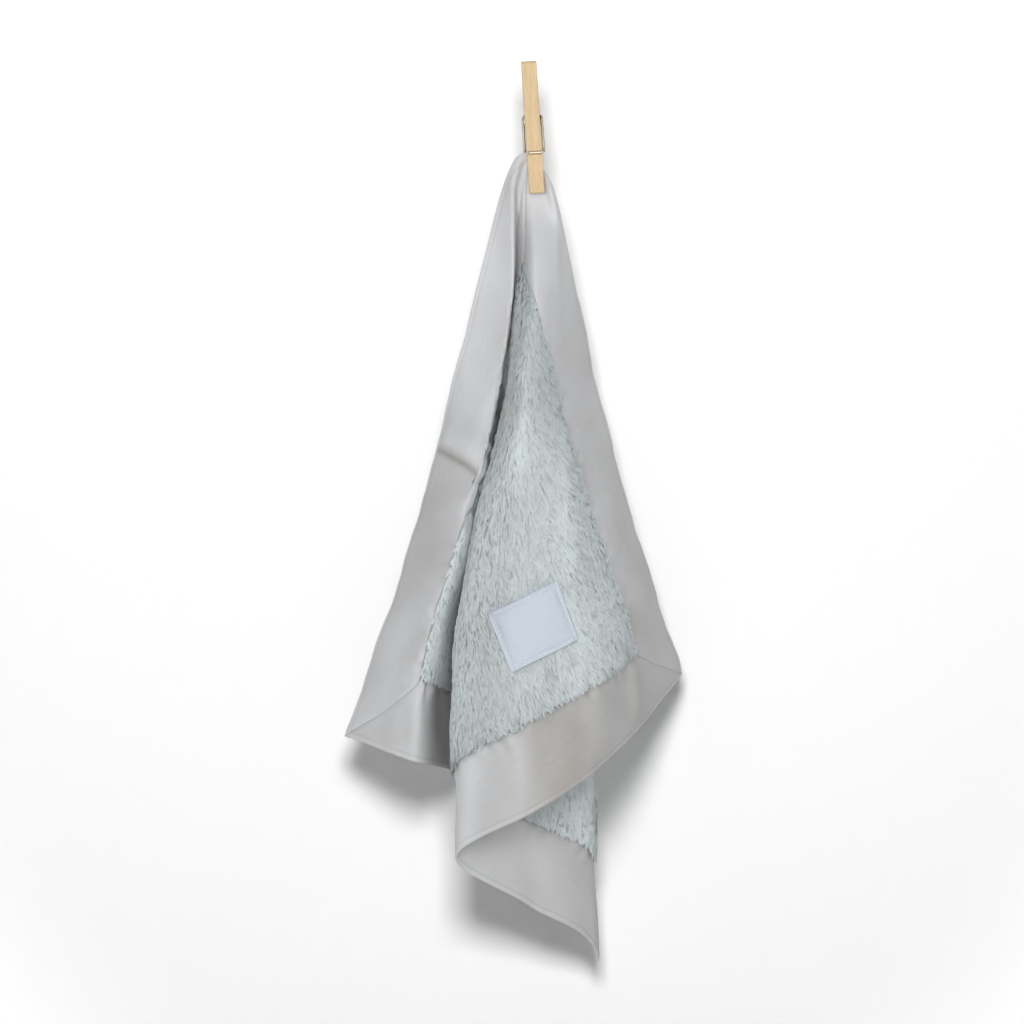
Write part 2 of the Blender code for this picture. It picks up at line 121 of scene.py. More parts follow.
# How the blanket hangs, by the frame's own numbers. Each line runs down the cloth from the held
# corner, through the common reaches and its own last ones. It gives its length as a share of
# the flat cloth's, its last reaches, its turns in degrees, and how far across and how deep it
# hangs at each reach after the corner. All lengths are shares of the side.
COMMON_REACHES = (0, 0.028, 0.07, 0.19, 0.39, 0.62, 0.876)
DRAPE_LINES = (
    # Left edge
    (1.0, (1.0,), (-45,) * 7,
     (-0.024, -0.042, -0.073, -0.122, -0.179, -0.259, -0.301),
     (0.003, 0.008, 0.021, 0.039, 0.052, 0.052, 0.052)),
    # Ridge beside the left edge
    (1.0, (1.01,), (-27, -27, -27, -31, -32.5, -36.2, -37),
     (-0.016, -0.026, -0.026, -0.049, -0.106, -0.175, -0.191),
     (-0.002, -0.007, -0.016, -0.021, -0.057, -0.051, -0.036)),
    # Left valley
    (0.98, (1.08,), (-21, -21, -21, -22, -20, -23, -24),
     (-0.012, -0.022, -0.025, -0.044, -0.07, -0.088, -0.09),
     (0.001, 0.001, 0.003, 0.042, 0.072, 0.131, 0.183)),
    # Inner ridge
    (0.97, (1.15,), (-17, -17, -17, -17.5, -16.5, -17, -15.5),
     (-0.01, -0.02, -0.024, -0.024, -0.039, -0.039, -0.039),
     (0.002, 0.006, 0.016, 0.038, 0.052, 0.059, 0.016)),
    # Inner valley
    (0.955, (1.27,), (-13, -13, -13, -12.5, -12, -11, -7.6),
     (-0.008, -0.016, -0.023, -0.004, 0.002, 0.018, 0.034),
     (0.002, 0.008, 0.029, 0.041, 0.068, 0.117, 0.183)),
    # Fold behind the lower corner
    (0.94, (1.1, 1.414), (-10, -10, -10, -7, -5.5, -3, 0, 0),
     (-0.006, -0.014, -0.021, 0.021, 0.064, 0.096, 0.1, 0.113),
     (0.002, 0.008, 0.034, 0.025, 0.036, 0.041, 0.06, 0.098)),
    # Middle, towards the lowest corner
    (0.968, (1.27,), (-7, -7, -8, -1, 2, 4.5, 7),
     (-0.004, -0.011, -0.02, -0.007, -0.015, -0.015, 0.002),
     (0.001, 0.007, 0.029, 0.006, 0.003, -0.003, 0.016)),
    # Left side of the front fold
    (0.985, (1.17,), (-4, -4, -5, 4, 9, 12, 13.6),
     (-0.003, -0.009, -0.016, -0.03, -0.085, -0.116, -0.117),
     (0.0, 0.003, 0.02, -0.008, -0.036, -0.062, -0.073)),
    # Front panel, left
    (0.988, (1.1,), (12, 12, 12, 13, 18, 20, 20.2),
     (0.002, 0.008, 0.011, -0.01, -0.018, -0.028, -0.007),
     (0.0, 0.0, -0.036, -0.09, -0.122, -0.144, -0.147)),
    # Front panel, right
    (0.972, (1.055,), (26, 26, 28, 25, 26, 27, 26.3),
     (0.009, 0.024, 0.044, 0.039, 0.054, 0.077, 0.096),
     (0.0, 0.0, -0.016, -0.052, -0.117, -0.131, -0.122)),
    # Ridge beside the right edge
    (0.94, (1.017,), (36, 36, 36, 35, 34, 36.2, 36),
     (0.014, 0.034, 0.055, 0.073, 0.106, 0.17, 0.181),
     (0.0, -0.007, 0.005, 0.003, -0.041, -0.026, -0.016)),
    # Right edge
    (0.888, (1.0,), (45,) * 7,
     (0.017, 0.039, 0.066, 0.106, 0.157, 0.22, 0.25),
     (-0.001, -0.001, 0.022, 0.065, 0.065, 0.091, 0.131)),
)

# Soft folds that run down the lower right band, each by its place round the held corner in
# radians, its half width in metres and its height in shares of the ripple height
BAND_FOLDS = (
    (1.055, 0.007, 0.45), (1.145, 0.011, 0.40), (1.305, 0.010, 0.42), (1.405, 0.009, 0.45))

# Painted highlights and painted shade, in streaks that run down from the held corner as the
# # cloth hangs. Each is its place round the corner and its half width in radians, its start and
# # end as shares of the side, and its amount: painted light on the satin or pile where it is above
# # 0, and painted shade where it is below.
# The satin's mean painted sheen, between its painted shade colour and its lit colour
MEAN_PAINTED_SHEEN = 0.335
PAINTED_SATIN_LIGHT = (
    (1.215, 0.085, 0.80, 1.20, -0.62),
    (1.390, 0.070, 0.80, 1.20, -0.34),
    (1.050, 0.030, 0.80, 1.20, 0.30),
    (0.960, 0.030, 0.80, 1.20, -0.12),
    (0.760, 0.110, 1.05, 1.60, -0.34),
    (1.515, 0.070, 0.58, 1.05, -0.12),
    (1.400, 0.200, 0.06, 0.30, 0.14),
    (0.050, 0.100, 0.54, 0.74, -0.18),
    (0.020, 0.120, 0.10, 0.42, 0.24),
    (0.230, 0.040, 0.62, 1.10, -0.35),
    (0.060, 0.045, 0.74, 0.95, 0.18),
)
# Painted light that lifts the front pile where it turns away or lies in shade, and painted shade
# near the top
PAINTED_FRONT_PILE_LIGHT = (
    (1.330, 0.100, 0.50, 0.95, 0.90),
    (1.020, 0.055, 0.45, 1.05, 0.95),
    (0.200, 0.100, 0.60, 1.10, 0.60),
    (1.050, 0.300, 0.20, 0.38, -0.25),
)
# Painted light on the back pile where it lies in shade under the lower band
PAINTED_BACK_PILE_LIGHT = ((0.800, 0.100, 0.95, 1.40, 1.10),)

# Clumps of pile on one side of the cloth, and each one's strands. A strand has two rings of
# three points and a tip: each level is its share of the strand's length, its height in shares
# of the pile's rise, and its width in shares of the root's.
PILE_SEEDS = {1: 11, -1: 12}
STRANDS_IN_CLUMP = 5
STRAND_LEVELS = ((0.0, 0.0, 1.0), (0.45, 0.9, 0.95), (1.0, 0.75, 0.0))
STRAND_FACES = (
    (0, 1, 2), (0, 4, 1), (0, 3, 4), (1, 5, 2), (1, 4, 5), (2, 3, 0), (2, 5, 3), (3, 6, 4),
    (4, 6, 5), (5, 6, 3))
PIECES_OF_PILE = 4
CLEAR_AHEAD = 1.45
# The tone of the few strands that are painted in shade
PAINTED_SHADE_TONE = -0.7

# Each soft lamp's share of the lamp power, its size and its place
LAMPS = (
    ("front_lamp", 0.96, 1.2, (-0.20, -2.60, 0.05)),
    ("left_lamp", 0.19, 1.0, (-1.50, -1.70, 0.20)),
    ("right_lamp", 0.34, 1.0, (1.30, -1.60, -0.40)),
    ("top_lamp", 0.026, 0.3, (-0.10, -0.60, 0.25)),
    ("back_lamp", 0.8, 1.2, (0.30, 2.60, 0.10)),
)
PAPER_LAMP = (0.55, (-0.05, -2.20, 0.50))
AIR_LIGHT = 0.13

# Where the camera looks, its sensor, and what the lamps point at
VIEW_ACROSS = -0.0134
VIEW_HEIGHT = -0.2303
SENSOR_WIDTH = 36.0
LAMP_TARGET = (VIEW_ACROSS, 0, -0.25)

# The white paper: its size, how much it glows near the blanket, between which distances from
# it the glow grows to plain white, and how much of the light on it goes back to the blanket
PAPER_SIZE = 6
WALL_GLOW = 0.03
FLOOR_GLOW = 0.84
GLOW_REACH = (0.34, 0.80)
FLOOR_BELOW = 0.10
THROWN_BACK = 0.60


def linear(hex_colour):
    """An sRGB hex colour as linear red, green and blue."""
    channels = [int(hex_colour[i:i + 2], 16) / 255 for i in (1, 3, 5)]
    return [c / 12.92 if c <= 0.04045 else ((c + 0.055) / 1.055) ** 2.4 for c in channels]


# Settings that a user would change

def length_setting(name, description, default):
    return bpy.props.FloatProperty(
        name=name, description=description, default=default, min=0, subtype="DISTANCE",
        unit="LENGTH", precision=4,
    )


def colour_setting(name, description, hex_colour):
    return bpy.props.FloatVectorProperty(
        name=name, description=description, default=linear(hex_colour), min=0, max=1,
        size=3, subtype="COLOR",
    )


class BlanketSettings(bpy.types.PropertyGroup):
    binding_thickness: length_setting(
        "Binding thickness", "Both layers of the folded satin, at the middle of the band", 0.0016)
    pucker_height: length_setting(
        "Pucker height", "How far the satin gathers out beside its seam", 0.0011)
    ripple_height: length_setting(
        "Ripple height", "How far the slack satin swells between the gathers", 0.0034)
    tuck_height: length_setting("Tuck height", "How far the left band bulges over its tuck", 0.0030)
    backing_thickness: length_setting(
        "Backing thickness", "Knitted backing and the matted lower part of the pile", 0.0023)
    tuft_spacing: length_setting("Tuft spacing", "From one clump of pile to the next", 0.00235)
    strand_length: length_setting("Strand length", "Mean length of a strand of pile", 0.0088)
    strand_width: length_setting("Strand width", "Width of a strand of pile at its root", 0.00095)
    pile_rise: length_setting(
        "Pile rise", "How high the lying strands stand off the matted pile", 0.0013)
    label_thickness: length_setting("Label thickness", "Folded and woven label", 0.0006)
    stitch_length: length_setting("Stitch length", "One stitch on the label", 0.0021)
    thread_diameter: length_setting("Thread diameter", "The label's sewing thread", 0.00042)
    # The satin is mixed between its lit colour and a painted shade colour
    satin_colour: colour_setting("Satin", "The binding, silver-grey", "#cdcfd2")
    satin_painted_shade: colour_setting("Satin shade", "The binding where it turns away", "#93908c")
    # The root colour is darker, a painted shade among the strands
    pile_tip_colour: colour_setting("Pile tip", "Ends of the pile's strands", "#bac1c2")
    pile_root_colour: colour_setting("Pile root", "Strands where they leave the backing", "#aeb5b6")
    label_colour: colour_setting("Label", "Bluish white woven label", "#b8c0ca")
    thread_colour: colour_setting("Thread", "Off-white sewing thread", "#d5d8de")


class PegSettings(bpy.types.PropertyGroup):
    coil_detail: bpy.props.IntProperty(
        name="Coil detail", description="Points round half a turn of the spring", default=16,
        min=6, max=48)
    birch_colour: colour_setting("Birch", "The peg's pale wood", "#ccb38d")
    grain_colour: colour_setting("Grain", "Darker growth lines of the wood", "#c0a57a")
    wire_colour: colour_setting("Wire", "Dulled drawn steel", "#a39c8b")


class StudioSettings(bpy.types.PropertyGroup):
    wall_gap: length_setting("Wall gap", "Clear space behind the blanket", 0.006)
    lens: bpy.props.FloatProperty(
        name="Lens", description="Focal length of the camera", default=400, min=20,
        subtype="DISTANCE_CAMERA", unit="CAMERA")
    frame_width: length_setting("Frame width", "What the camera sees at the peg", 0.634)
    lamp_power: bpy.props.FloatProperty(
        name="Lamps", description="Power of the soft lamp in front; the others keep their share",
        default=39, min=0, subtype="POWER", unit="POWER")
    paper_power: bpy.props.FloatProperty(
        name="Paper lamp", description="Power of the lamp that lights the white paper alone",
        default=45, min=0, subtype="POWER", unit="POWER")
    wall_colour: colour_setting("Wall", "White wall and floor", "#fcfcfc")


# The hanging cloth's middle surface

def smooth_through(knots, values, places):
    """A curve through the values at the rising knots that doesn't swing past them."""
    slopes = np.diff(values, axis=0) / np.diff(knots, axis=0)
    product = slopes[:-1] * slopes[1:]
    total = np.where(product > 0, slopes[:-1] + slopes[1:], 1)
    middle = np.where(product > 0, 2 * product / total, 0)
    tangents = np.concatenate([slopes[:1], middle, slopes[-1:]])
    inside = np.clip(places, knots[0], knots[-1])
    first = np.clip((inside >= knots).sum(axis=0) - 1, 0, len(knots) - 2)
    columns = np.arange(len(places))
    here, after = (first, columns), (first + 1, columns)
    gap = knots[after] - knots[here]
    share = (inside - knots[here]) / gap
    curve = (
        values[here] * (1 + 2 * share) * (1 - share) ** 2
        + tangents[here] * gap * share * (1 - share) ** 2
        + values[after] * share**2 * (3 - 2 * share)
        + tangents[after] * gap * share**2 * (share - 1)
    )
    past_ends = (places - inside) * np.where(places < inside, tangents[0], tangents[-1])
    return curve + past_ends


def drape_line(length_share, last_reaches, turns, across, depths, reaches):
    """One line's turn, across, depth and drop at each reach."""
    knots = np.array((*COMMON_REACHES, *last_reaches), float)

    def at_reaches(first, values):
        table = np.stack([knots, (first, *values)])[:, :, None]
        return smooth_through(*np.repeat(table, len(reaches), axis=2), reaches)

    turn = at_reaches(turns[0], turns)
    across, depth = at_reaches(0, across), at_reaches(0, depths)
    spans = 1 - (1 - length_share) * reaches / knots[-1]
    drop = spans * np.sqrt(np.maximum(reaches**2 - across**2 - depth**2, 0))
    return turn, across, depth, drop


def hanging_points(along_left, along_right):
    """Where the flat places hang."""
    left = np.asarray(along_left, float).ravel() / SIDE_LENGTH
    right = np.asarray(along_right, float).ravel() / SIDE_LENGTH
    reaches = np.hypot(left, right)
    turns = np.where(reaches > 0, np.degrees(np.arctan2(right, left)) - 45, 0)
    lines = np.array([drape_line(*line, reaches) for line in DRAPE_LINES])
    across, depth, drop = (smooth_through(lines[:, 0], lines[:, i], turns) for i in (1, 2, 3))
    return np.stack(
        [CORNER_ACROSS + across * SIDE_LENGTH, depth * SIDE_LENGTH,
         -CORNER_BELOW_NOTCH - drop * SIDE_LENGTH],
        axis=1,
    )


def unit(vectors):
    return vectors / np.maximum(np.linalg.norm(vectors, axis=-1, keepdims=True), 1e-12)


def hanging_frame(along_left, along_right, step=0.001):
    """Places, front normals, and the ways down the left and right edges, at flat places."""
    left, right = np.ravel(along_left), np.ravel(along_right)
    left_before, right_before = np.maximum(left - step, 0), np.maximum(right - step, 0)
    left_way = hanging_points(left + step, right) - hanging_points(left_before, right)
    right_way = hanging_points(left, right + step) - hanging_points(left, right_before)
    normals = unit(np.cross(left_way, right_way))
    return hanging_points(left, right), normals, unit(left_way), unit(right_way)


def waves(places, lengths, seed):
    """Smooth irregular waves between about -1 and 1 along one coordinate."""
    random = np.random.default_rng(seed)
    total = np.zeros_like(places)
    for length in lengths:
        total += np.sin(2 * math.pi * places / length + random.uniform(0, 2 * math.pi))
    return total / math.sqrt(2 * len(lengths))


def swells(left, right, lengths, seed):
    """Smooth irregular waves between about -1 and 1 over the flat cloth."""
    random = np.random.default_rng(seed)
    total = np.zeros_like(left)
    for length in lengths:
        way = random.uniform(0, math.pi)
        across = left * math.cos(way) + right * math.sin(way)
        total += np.sin(2 * math.pi * across / length + random.uniform(0, 2 * math.pi))
    return total / math.sqrt(2 * len(lengths))


def smooth_step(value, low, high):
    share = np.clip((value - low) / (high - low), 0, 1)
    return share * share * (3 - 2 * share)


def window(value, outer_low, low, high, outer_high):
    """1 between low and high, and smoothly down to 0 at the outer two."""
    return smooth_step(value, outer_low, low) * (1 - smooth_step(value, high, outer_high))


def hump(value, middle, half_width):
    """1 at the middle, and smoothly down to 0 on both sides."""
    return np.exp(-(((value - middle) / half_width) ** 2))


def from_mitre(along, inward):
    """How far a place of a band is from the band's mitred ends."""
    return np.minimum(along, SIDE_LENGTH - along) - inward


def below_tuck(left, right):
    """How far a place of the left band is below its tuck."""
    return left - TUCK_DOWN - TUCK_SLOPE * (right - BINDING_WIDTH / 2)


def painted_streaks(left, right, streaks, fade=0.06):
    """The sum of the streaks at flat places."""
    around, reach = np.arctan2(right, left), np.hypot(left, right) / SIDE_LENGTH
    total = np.zeros(len(left))
    for middle, half_width, start, end, amount in streaks:
        lasting = window(reach, start - fade, start + fade, end - fade, end + fade)
        total += amount * lasting * hump(around, middle, half_width)
    return total


def painted_satin_light(left, right):
    """Painted sheen and painted shade on the satin as it hangs: the streaks, and round the tuck
    in the left band a painted highlight on the cloth above and a painted shade under it."""
    left, right = np.ravel(left), np.ravel(right)
    below = below_tuck(left, right)
    over_band = window(right, 0, 0.004, BINDING_WIDTH - 0.010, BINDING_WIDTH)
    # Painted highlight above the tuck, and painted shade just under it
    tuck = 0.15 * hump(below, -0.006, 0.006) - 0.55 * hump(below, 0.0032, 0.0026)
    return MEAN_PAINTED_SHEEN + painted_streaks(left, right, PAINTED_SATIN_LIGHT) + over_band * tuck


def relief(left, right, settings):
    """How far the slack cloth swells off its drape: gathers beside the seams, soft folds that
    run down from the held corner, and the tuck in the left band."""
    left, right = np.ravel(left), np.ravel(right)
    far_left, far_right = SIDE_LENGTH - left, SIDE_LENGTH - right
    sides = ((right, left), (left, right), (far_left, right), (far_right, left))
    around = np.arctan2(right, left)
    folds = 0.6 * waves(around * SIDE_LENGTH, (0.024, 0.036, 0.053), 51)
    for place, half_width, height in BAND_FOLDS:
        folds += 2.2 * height * hump((around - place) * SIDE_LENGTH, 0, half_width)
    total = 0.35 * settings.ripple_height * swells(left, right, (0.047, 0.061, 0.083), 5)
    for side, (inward, along) in enumerate(sides):
        inside = smooth_step(from_mitre(along, inward), 0, 0.014)
        from_seam = inward - BINDING_WIDTH
        gathered = 0.008 + 0.004 * waves(along, (0.047, 0.031), 40 + side)
        near_seam = hump(from_seam, 0, np.where(from_seam < 0, gathered, 0.006))
        gathers = waves(along, (0.0093, 0.0127, 0.0171, 0.0231), 10 + side)
        edge_waves = 0.22 * waves(along, (0.019, 0.029, 0.043), 20 + side)
        puckers = near_seam * gathers + hump(inward, 0, 0.010) * edge_waves
        swelling = folds if side > 1 else 0.8 * waves(
            along + 0.5 * inward, (0.034, 0.051, 0.078), 30 + side)
        ripples = 0.45 * swelling * window(inward, 0.002, 0.020, 0.042, BINDING_WIDTH)
        total += inside * (settings.pucker_height * puckers + settings.ripple_height * ripples)
    # The left band bulges over its tuck, and its seam side turns back above it
    below = below_tuck(left, right)
    bulge = np.exp(-np.maximum(-below, 0) / 0.026) * (0.5 - 0.5 * np.tanh(below / 0.0022))
    turned = window(right, 0.024, 0.036, 0.050, 0.068) * window(left, 0.10, 0.15, 0.188, 0.200)
    over_band = window(right, 0.001, 0.010, BINDING_WIDTH, 0.060)
    total += settings.tuck_height * (bulge * over_band - 0.8 * turned)
    return total * smooth_step(np.hypot(left, right), *SLACK_REACH)


def slack_frame(left, right, settings, offset=0.0):
    """The cloth's places with its relief, moved out by the offset, and its frame there."""
    places, normals, left_way, right_way = hanging_frame(left, right)
    lift = relief(left, right, settings) + np.ravel(offset)
    return places + normals * lift[:, None], normals, left_way, right_way


# Modelling helpers

def select_only(piece):
    bpy.ops.object.select_all(action="DESELECT")
    piece.select_set(True)
    bpy.context.view_layer.objects.active = piece


def start_piece(add, name, **settings):
    """Adds a primitive with nothing else selected, and names it."""
    bpy.ops.object.select_all(action="DESELECT")
    add(**settings)
    piece = bpy.context.object
    piece.name = name
    piece.data.name = name
    return piece


def merge_doubles(piece, distance):
    select_only(piece)
    bpy.ops.object.mode_set(mode="EDIT")
    bpy.ops.mesh.select_all(action="SELECT")
    bpy.ops.mesh.remove_doubles(threshold=distance)
    bpy.ops.object.mode_set(mode="OBJECT")


def put_uv(piece, flat, name="UVMap"):
    """A UV map in metres from one flat place for each point."""
    layer = piece.data.uv_layers.get(name) or piece.data.uv_layers.new(name=name)
    corners = np.zeros(len(piece.data.loops), np.int32)
    piece.data.loops.foreach_get("vertex_index", corners)
    layer.data.foreach_set("uv", np.asarray(flat, np.float32)[corners].ravel())


def cloth_sheet(name, cells, flat_of, settings, offset, thickness, fullness, uv_of=None):
    """A sheet of cloth from a grid: each point's flat place, its height over the drape and
    its thickness, as a share of the full one, are worked out from the grid's two shares."""
    piece = start_piece(
        bpy.ops.mesh.primitive_grid_add, name, x_subdivisions=cells[0],
        y_subdivisions=cells[1], size=1)
    shares = np.zeros(len(piece.data.vertices) * 3)
    piece.data.vertices.foreach_get("co", shares)
    u, v, _ = shares.reshape(-1, 3).T + 0.5
    left, right = flat_of(u, v)
    places = slack_frame(left, right, settings, offset(u, v))[0]
    piece.data.vertices.foreach_set("co", places.astype(np.float32).ravel())
    piece.data.update()
    put_uv(piece, np.stack((uv_of or flat_of)(u, v), axis=1))
    # The satin's painted sheen and painted shade ride in their own UV map
    put_uv(piece, np.stack((painted_satin_light(left, right), 0 * left), axis=1), "PaintedLight")
    thick = piece.vertex_groups.new(name="thickness")
    for index, weight in enumerate(fullness(u, v)):
        thick.add([index], float(weight), "REPLACE")
    normal = hanging_frame(left[:1], right[:1])[1][0]
    if piece.data.vertices[0].normal.dot(normal) < 0:
        piece.data.flip_normals()
    layers = piece.modifiers.new("Layers", "SOLIDIFY")
    layers.thickness = thickness
    layers.offset = 0
    layers.vertex_group = thick.name
    bpy.ops.object.modifier_apply(modifier=layers.name)
    merge_doubles(piece, 0.00003)
    piece.vertex_groups.clear()
    piece.data.shade_smooth()
    return piece


def finish_piece(piece, slot, look, *replaced):
    """Gives a piece of the blanket its material, and the nodes that it stands for. Its slot is not
    used.
    """
    piece.data.materials.clear()
    piece.data.materials.append(look)
    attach(piece, "blanket")
    if replaced:
        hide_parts(*replaced)


# Materials

def add_node(tree, kind, inputs=None, **settings):
    """Adds a node with its settings, and sets or links its inputs. A node that is given for an
    input is linked by its first output, and a plain colour gets its fourth channel."""
    node = tree.nodes.new("ShaderNode" + kind)
    for key, value in settings.items():
        setattr(node, key, value)
    for key, value in (inputs or {}).items():
        socket = node.inputs[key]
        if isinstance(value, bpy.types.Node):
            value = value.outputs[0]
        if isinstance(value, bpy.types.NodeSocket):
            tree.links.new(value, socket)
        else:
            socket.default_value = (*value[:3], 1) if socket.type == "RGBA" else value
    return node


def new_material(name, **shader_values):
    """A material with a Principled shader whose plain values are set on its own sockets."""
    made = bpy.data.materials.new(name)
    made.use_nodes = True
    shader = made.node_tree.nodes["Principled BSDF"]
    for key, value in shader_values.items():
        shader.inputs[key.replace("_", " ")].default_value = value
    return made, made.node_tree


def darker(colour, share):
    return [channel * share for channel in colour]


def link_surface(tree, colour, height=None, strength=0.0, distance=0.0):
    """Links the colour, and the height of the surface's relief, to the shader."""
    shader = tree.nodes["Principled BSDF"]
    tree.links.new(colour, shader.inputs["Base Color"])
    if height:
        bump = add_node(tree, "Bump", {
            "Height": height, "Strength": strength, "Distance": distance})
        tree.links.new(bump.outputs[0], shader.inputs["Normal"])


def satin_material(settings):
    """Polyester satin, woven: long floats of bright thread, with faint slubs across. Its colour is
    mixed from a warm painted shade to a cool lit colour by painted sheen and shade streaks,
    random patches of painted sheen, a painted highlight at its folded edge and a painted shade
    along the pressed line inside it. Threads of 0.12 mm are too fine to show, so they are drawn
    as streaks of 1.1 mm."""
    made, tree = new_material(
        "Woven polyester satin", Roughness=0.5, Sheen_Weight=0.12, Sheen_Roughness=0.35,
        Specular_IOR_Level=0.38, Anisotropic=0.4)
    flat = add_node(tree, "UVMap", uv_map="UVMap")
    lengthwise = add_node(tree, "Mapping", {"Vector": flat, "Scale": (55, 900, 1)})
    floats = add_node(tree, "TexNoise", {
        "Vector": lengthwise, "Scale": 1.0, "Detail": 2.0, "Roughness": 0.5})
    crosswise = add_node(tree, "Mapping", {"Vector": flat, "Scale": (420, 38, 1)})
    slubs = add_node(tree, "TexNoise", {"Vector": crosswise, "Scale": 1.0, "Detail": 1.0})
    # Random patches of painted sheen
    painted_sheen_patches = add_node(tree, "TexNoise", {"Vector": flat, "Scale": 22.0, "Detail": 2.0})
    inward = add_node(tree, "SeparateXYZ", {0: flat}).outputs["Y"]
    # Painted highlight at the rounded folded edge, and painted shade along the pressed line inside
    # it
    rim = add_node(tree, "MapRange", {
        "Value": inward, "From Min": PAINTED_RIM_HIGHLIGHT[0], "From Max": PAINTED_RIM_HIGHLIGHT[1], "To Min": 0.09,
        "To Max": 0.0}, interpolation_type="SMOOTHSTEP")
    from_line = add_node(tree, "Math", {0: inward, 1: PAINTED_LINE_SHADE}, operation="SUBTRACT")
    from_line = add_node(tree, "Math", {0: from_line}, operation="ABSOLUTE")
    line = add_node(tree, "MapRange", {
        "Value": from_line, "From Max": 0.0009, "To Min": -0.18, "To Max": 0.0})
    # The colour is mixed from the painted shade colour to the lit colour by the painted sheen and
    # shade, the thread streaks, the painted sheen patches, the edge's painted highlight and the
    # pressed line's painted shade
    hung = add_node(tree, "UVMap", uv_map="PaintedLight")
    tone = add_node(tree, "SeparateXYZ", {0: hung})
    for part, weight in ((floats, 0.2), (painted_sheen_patches, 0.45), (rim, 1.0), (line, 1.0)):
        tone = add_node(tree, "Math", {0: part, 1: weight, 2: tone}, operation="MULTIPLY_ADD")
    colour = add_node(tree, "Mix", {
        0: tone, 6: settings.satin_painted_shade, 7: settings.satin_colour}, data_type="RGBA")
    height = add_node(tree, "Math", {0: floats, 1: slubs}, operation="ADD")
    link_surface(tree, colour.outputs[2], height, 0.10, 0.0003)
    return made


def pile_material(settings):
    """Brushed polyester pile: matt fibres with a soft sheen at the tip, painted darker at the
    root as shade among the strands, and each strand scaled by its tone.
    """
    made, tree = new_material(
        "Brushed polyester pile", Roughness=0.85, Sheen_Weight=0.40, Sheen_Roughness=0.5,
        Specular_IOR_Level=0.25)
    strand = add_node(tree, "UVMap", uv_map="UVMap")
    parts = add_node(tree, "SeparateXYZ", {0: strand})
    # Painted shade towards the root, the plain colour towards the tip
    to_tip = add_node(tree, "MapRange", {
        "Value": parts.outputs["Y"], "From Min": 0.0, "From Max": 0.75},
        interpolation_type="SMOOTHSTEP")
    body = add_node(tree, "Mix", {
        0: to_tip, 6: settings.pile_root_colour, 7: settings.pile_tip_colour}, data_type="RGBA")
    # Each strand's tone: random, with its painted light and painted shade
    tone = add_node(tree, "MapRange", {
        "Value": parts.outputs["X"], "To Min": 0.78, "To Max": 1.05}, clamp=False)
    colour = add_node(tree, "VectorMath", {0: body.outputs[2], "Scale": tone}, operation="SCALE")
    link_surface(tree, colour.outputs[0])
    return made


def backing_material(settings):
    """Knitted polyester backing: dull, and in the shade of the pile."""
    made, tree = new_material("Knitted polyester backing", Roughness=0.95)
    flat = add_node(tree, "UVMap", uv_map="UVMap")
    loops = add_node(tree, "TexVoronoi", {"Vector": flat, "Scale": 900.0})
    shade = darker(settings.pile_root_colour, 0.8)
    colour = add_node(tree, "Mix", {
        0: loops, 6: shade, 7: settings.pile_root_colour}, data_type="RGBA")
    link_surface(tree, colour.outputs[2], loops, 0.4, 0.0003)
    return made


def label_material(settings):
    """Woven polyester taffeta: a fine plain weave of 0.25 mm threads, drawn at 0.5 mm to show."""
    made, tree = new_material(
        "Woven polyester taffeta", Roughness=0.55, Sheen_Weight=0.15, Specular_IOR_Level=0.4)
    flat = add_node(tree, "UVMap", uv_map="UVMap")
    warp, weft = (
        add_node(tree, "TexWave", {
            "Vector": flat, "Scale": 320.0, "Distortion": 0.6, "Detail": 1.0},
            bands_direction=way).outputs["Fac"]
        for way in ("X", "Y"))
    weave = add_node(tree, "Math", {0: warp, 1: weft}, operation="MAXIMUM")
    shade = darker(settings.label_colour, 0.86)
    colour = add_node(tree, "Mix", {0: weave, 6: shade, 7: settings.label_colour}, data_type="RGBA")
    link_surface(tree, colour.outputs[2], weave, 0.25, 0.0002)
    return made


def thread_material(settings):
    """Spun polyester sewing thread: matt, with a fine twist."""
    made, tree = new_material("Spun polyester thread", Roughness=0.7, Sheen_Weight=0.2)
    place = add_node(tree, "TexCoord").outputs["Object"]
    twist = add_node(tree, "TexWave", {
        "Vector": place, "Scale": 1100.0}, bands_direction="DIAGONAL").outputs["Fac"]
    shade = darker(settings.thread_colour, 0.8)
    colour = add_node(tree, "Mix", {
        0: twist, 6: shade, 7: settings.thread_colour}, data_type="RGBA")
    link_surface(tree, colour.outputs[2])
    return made


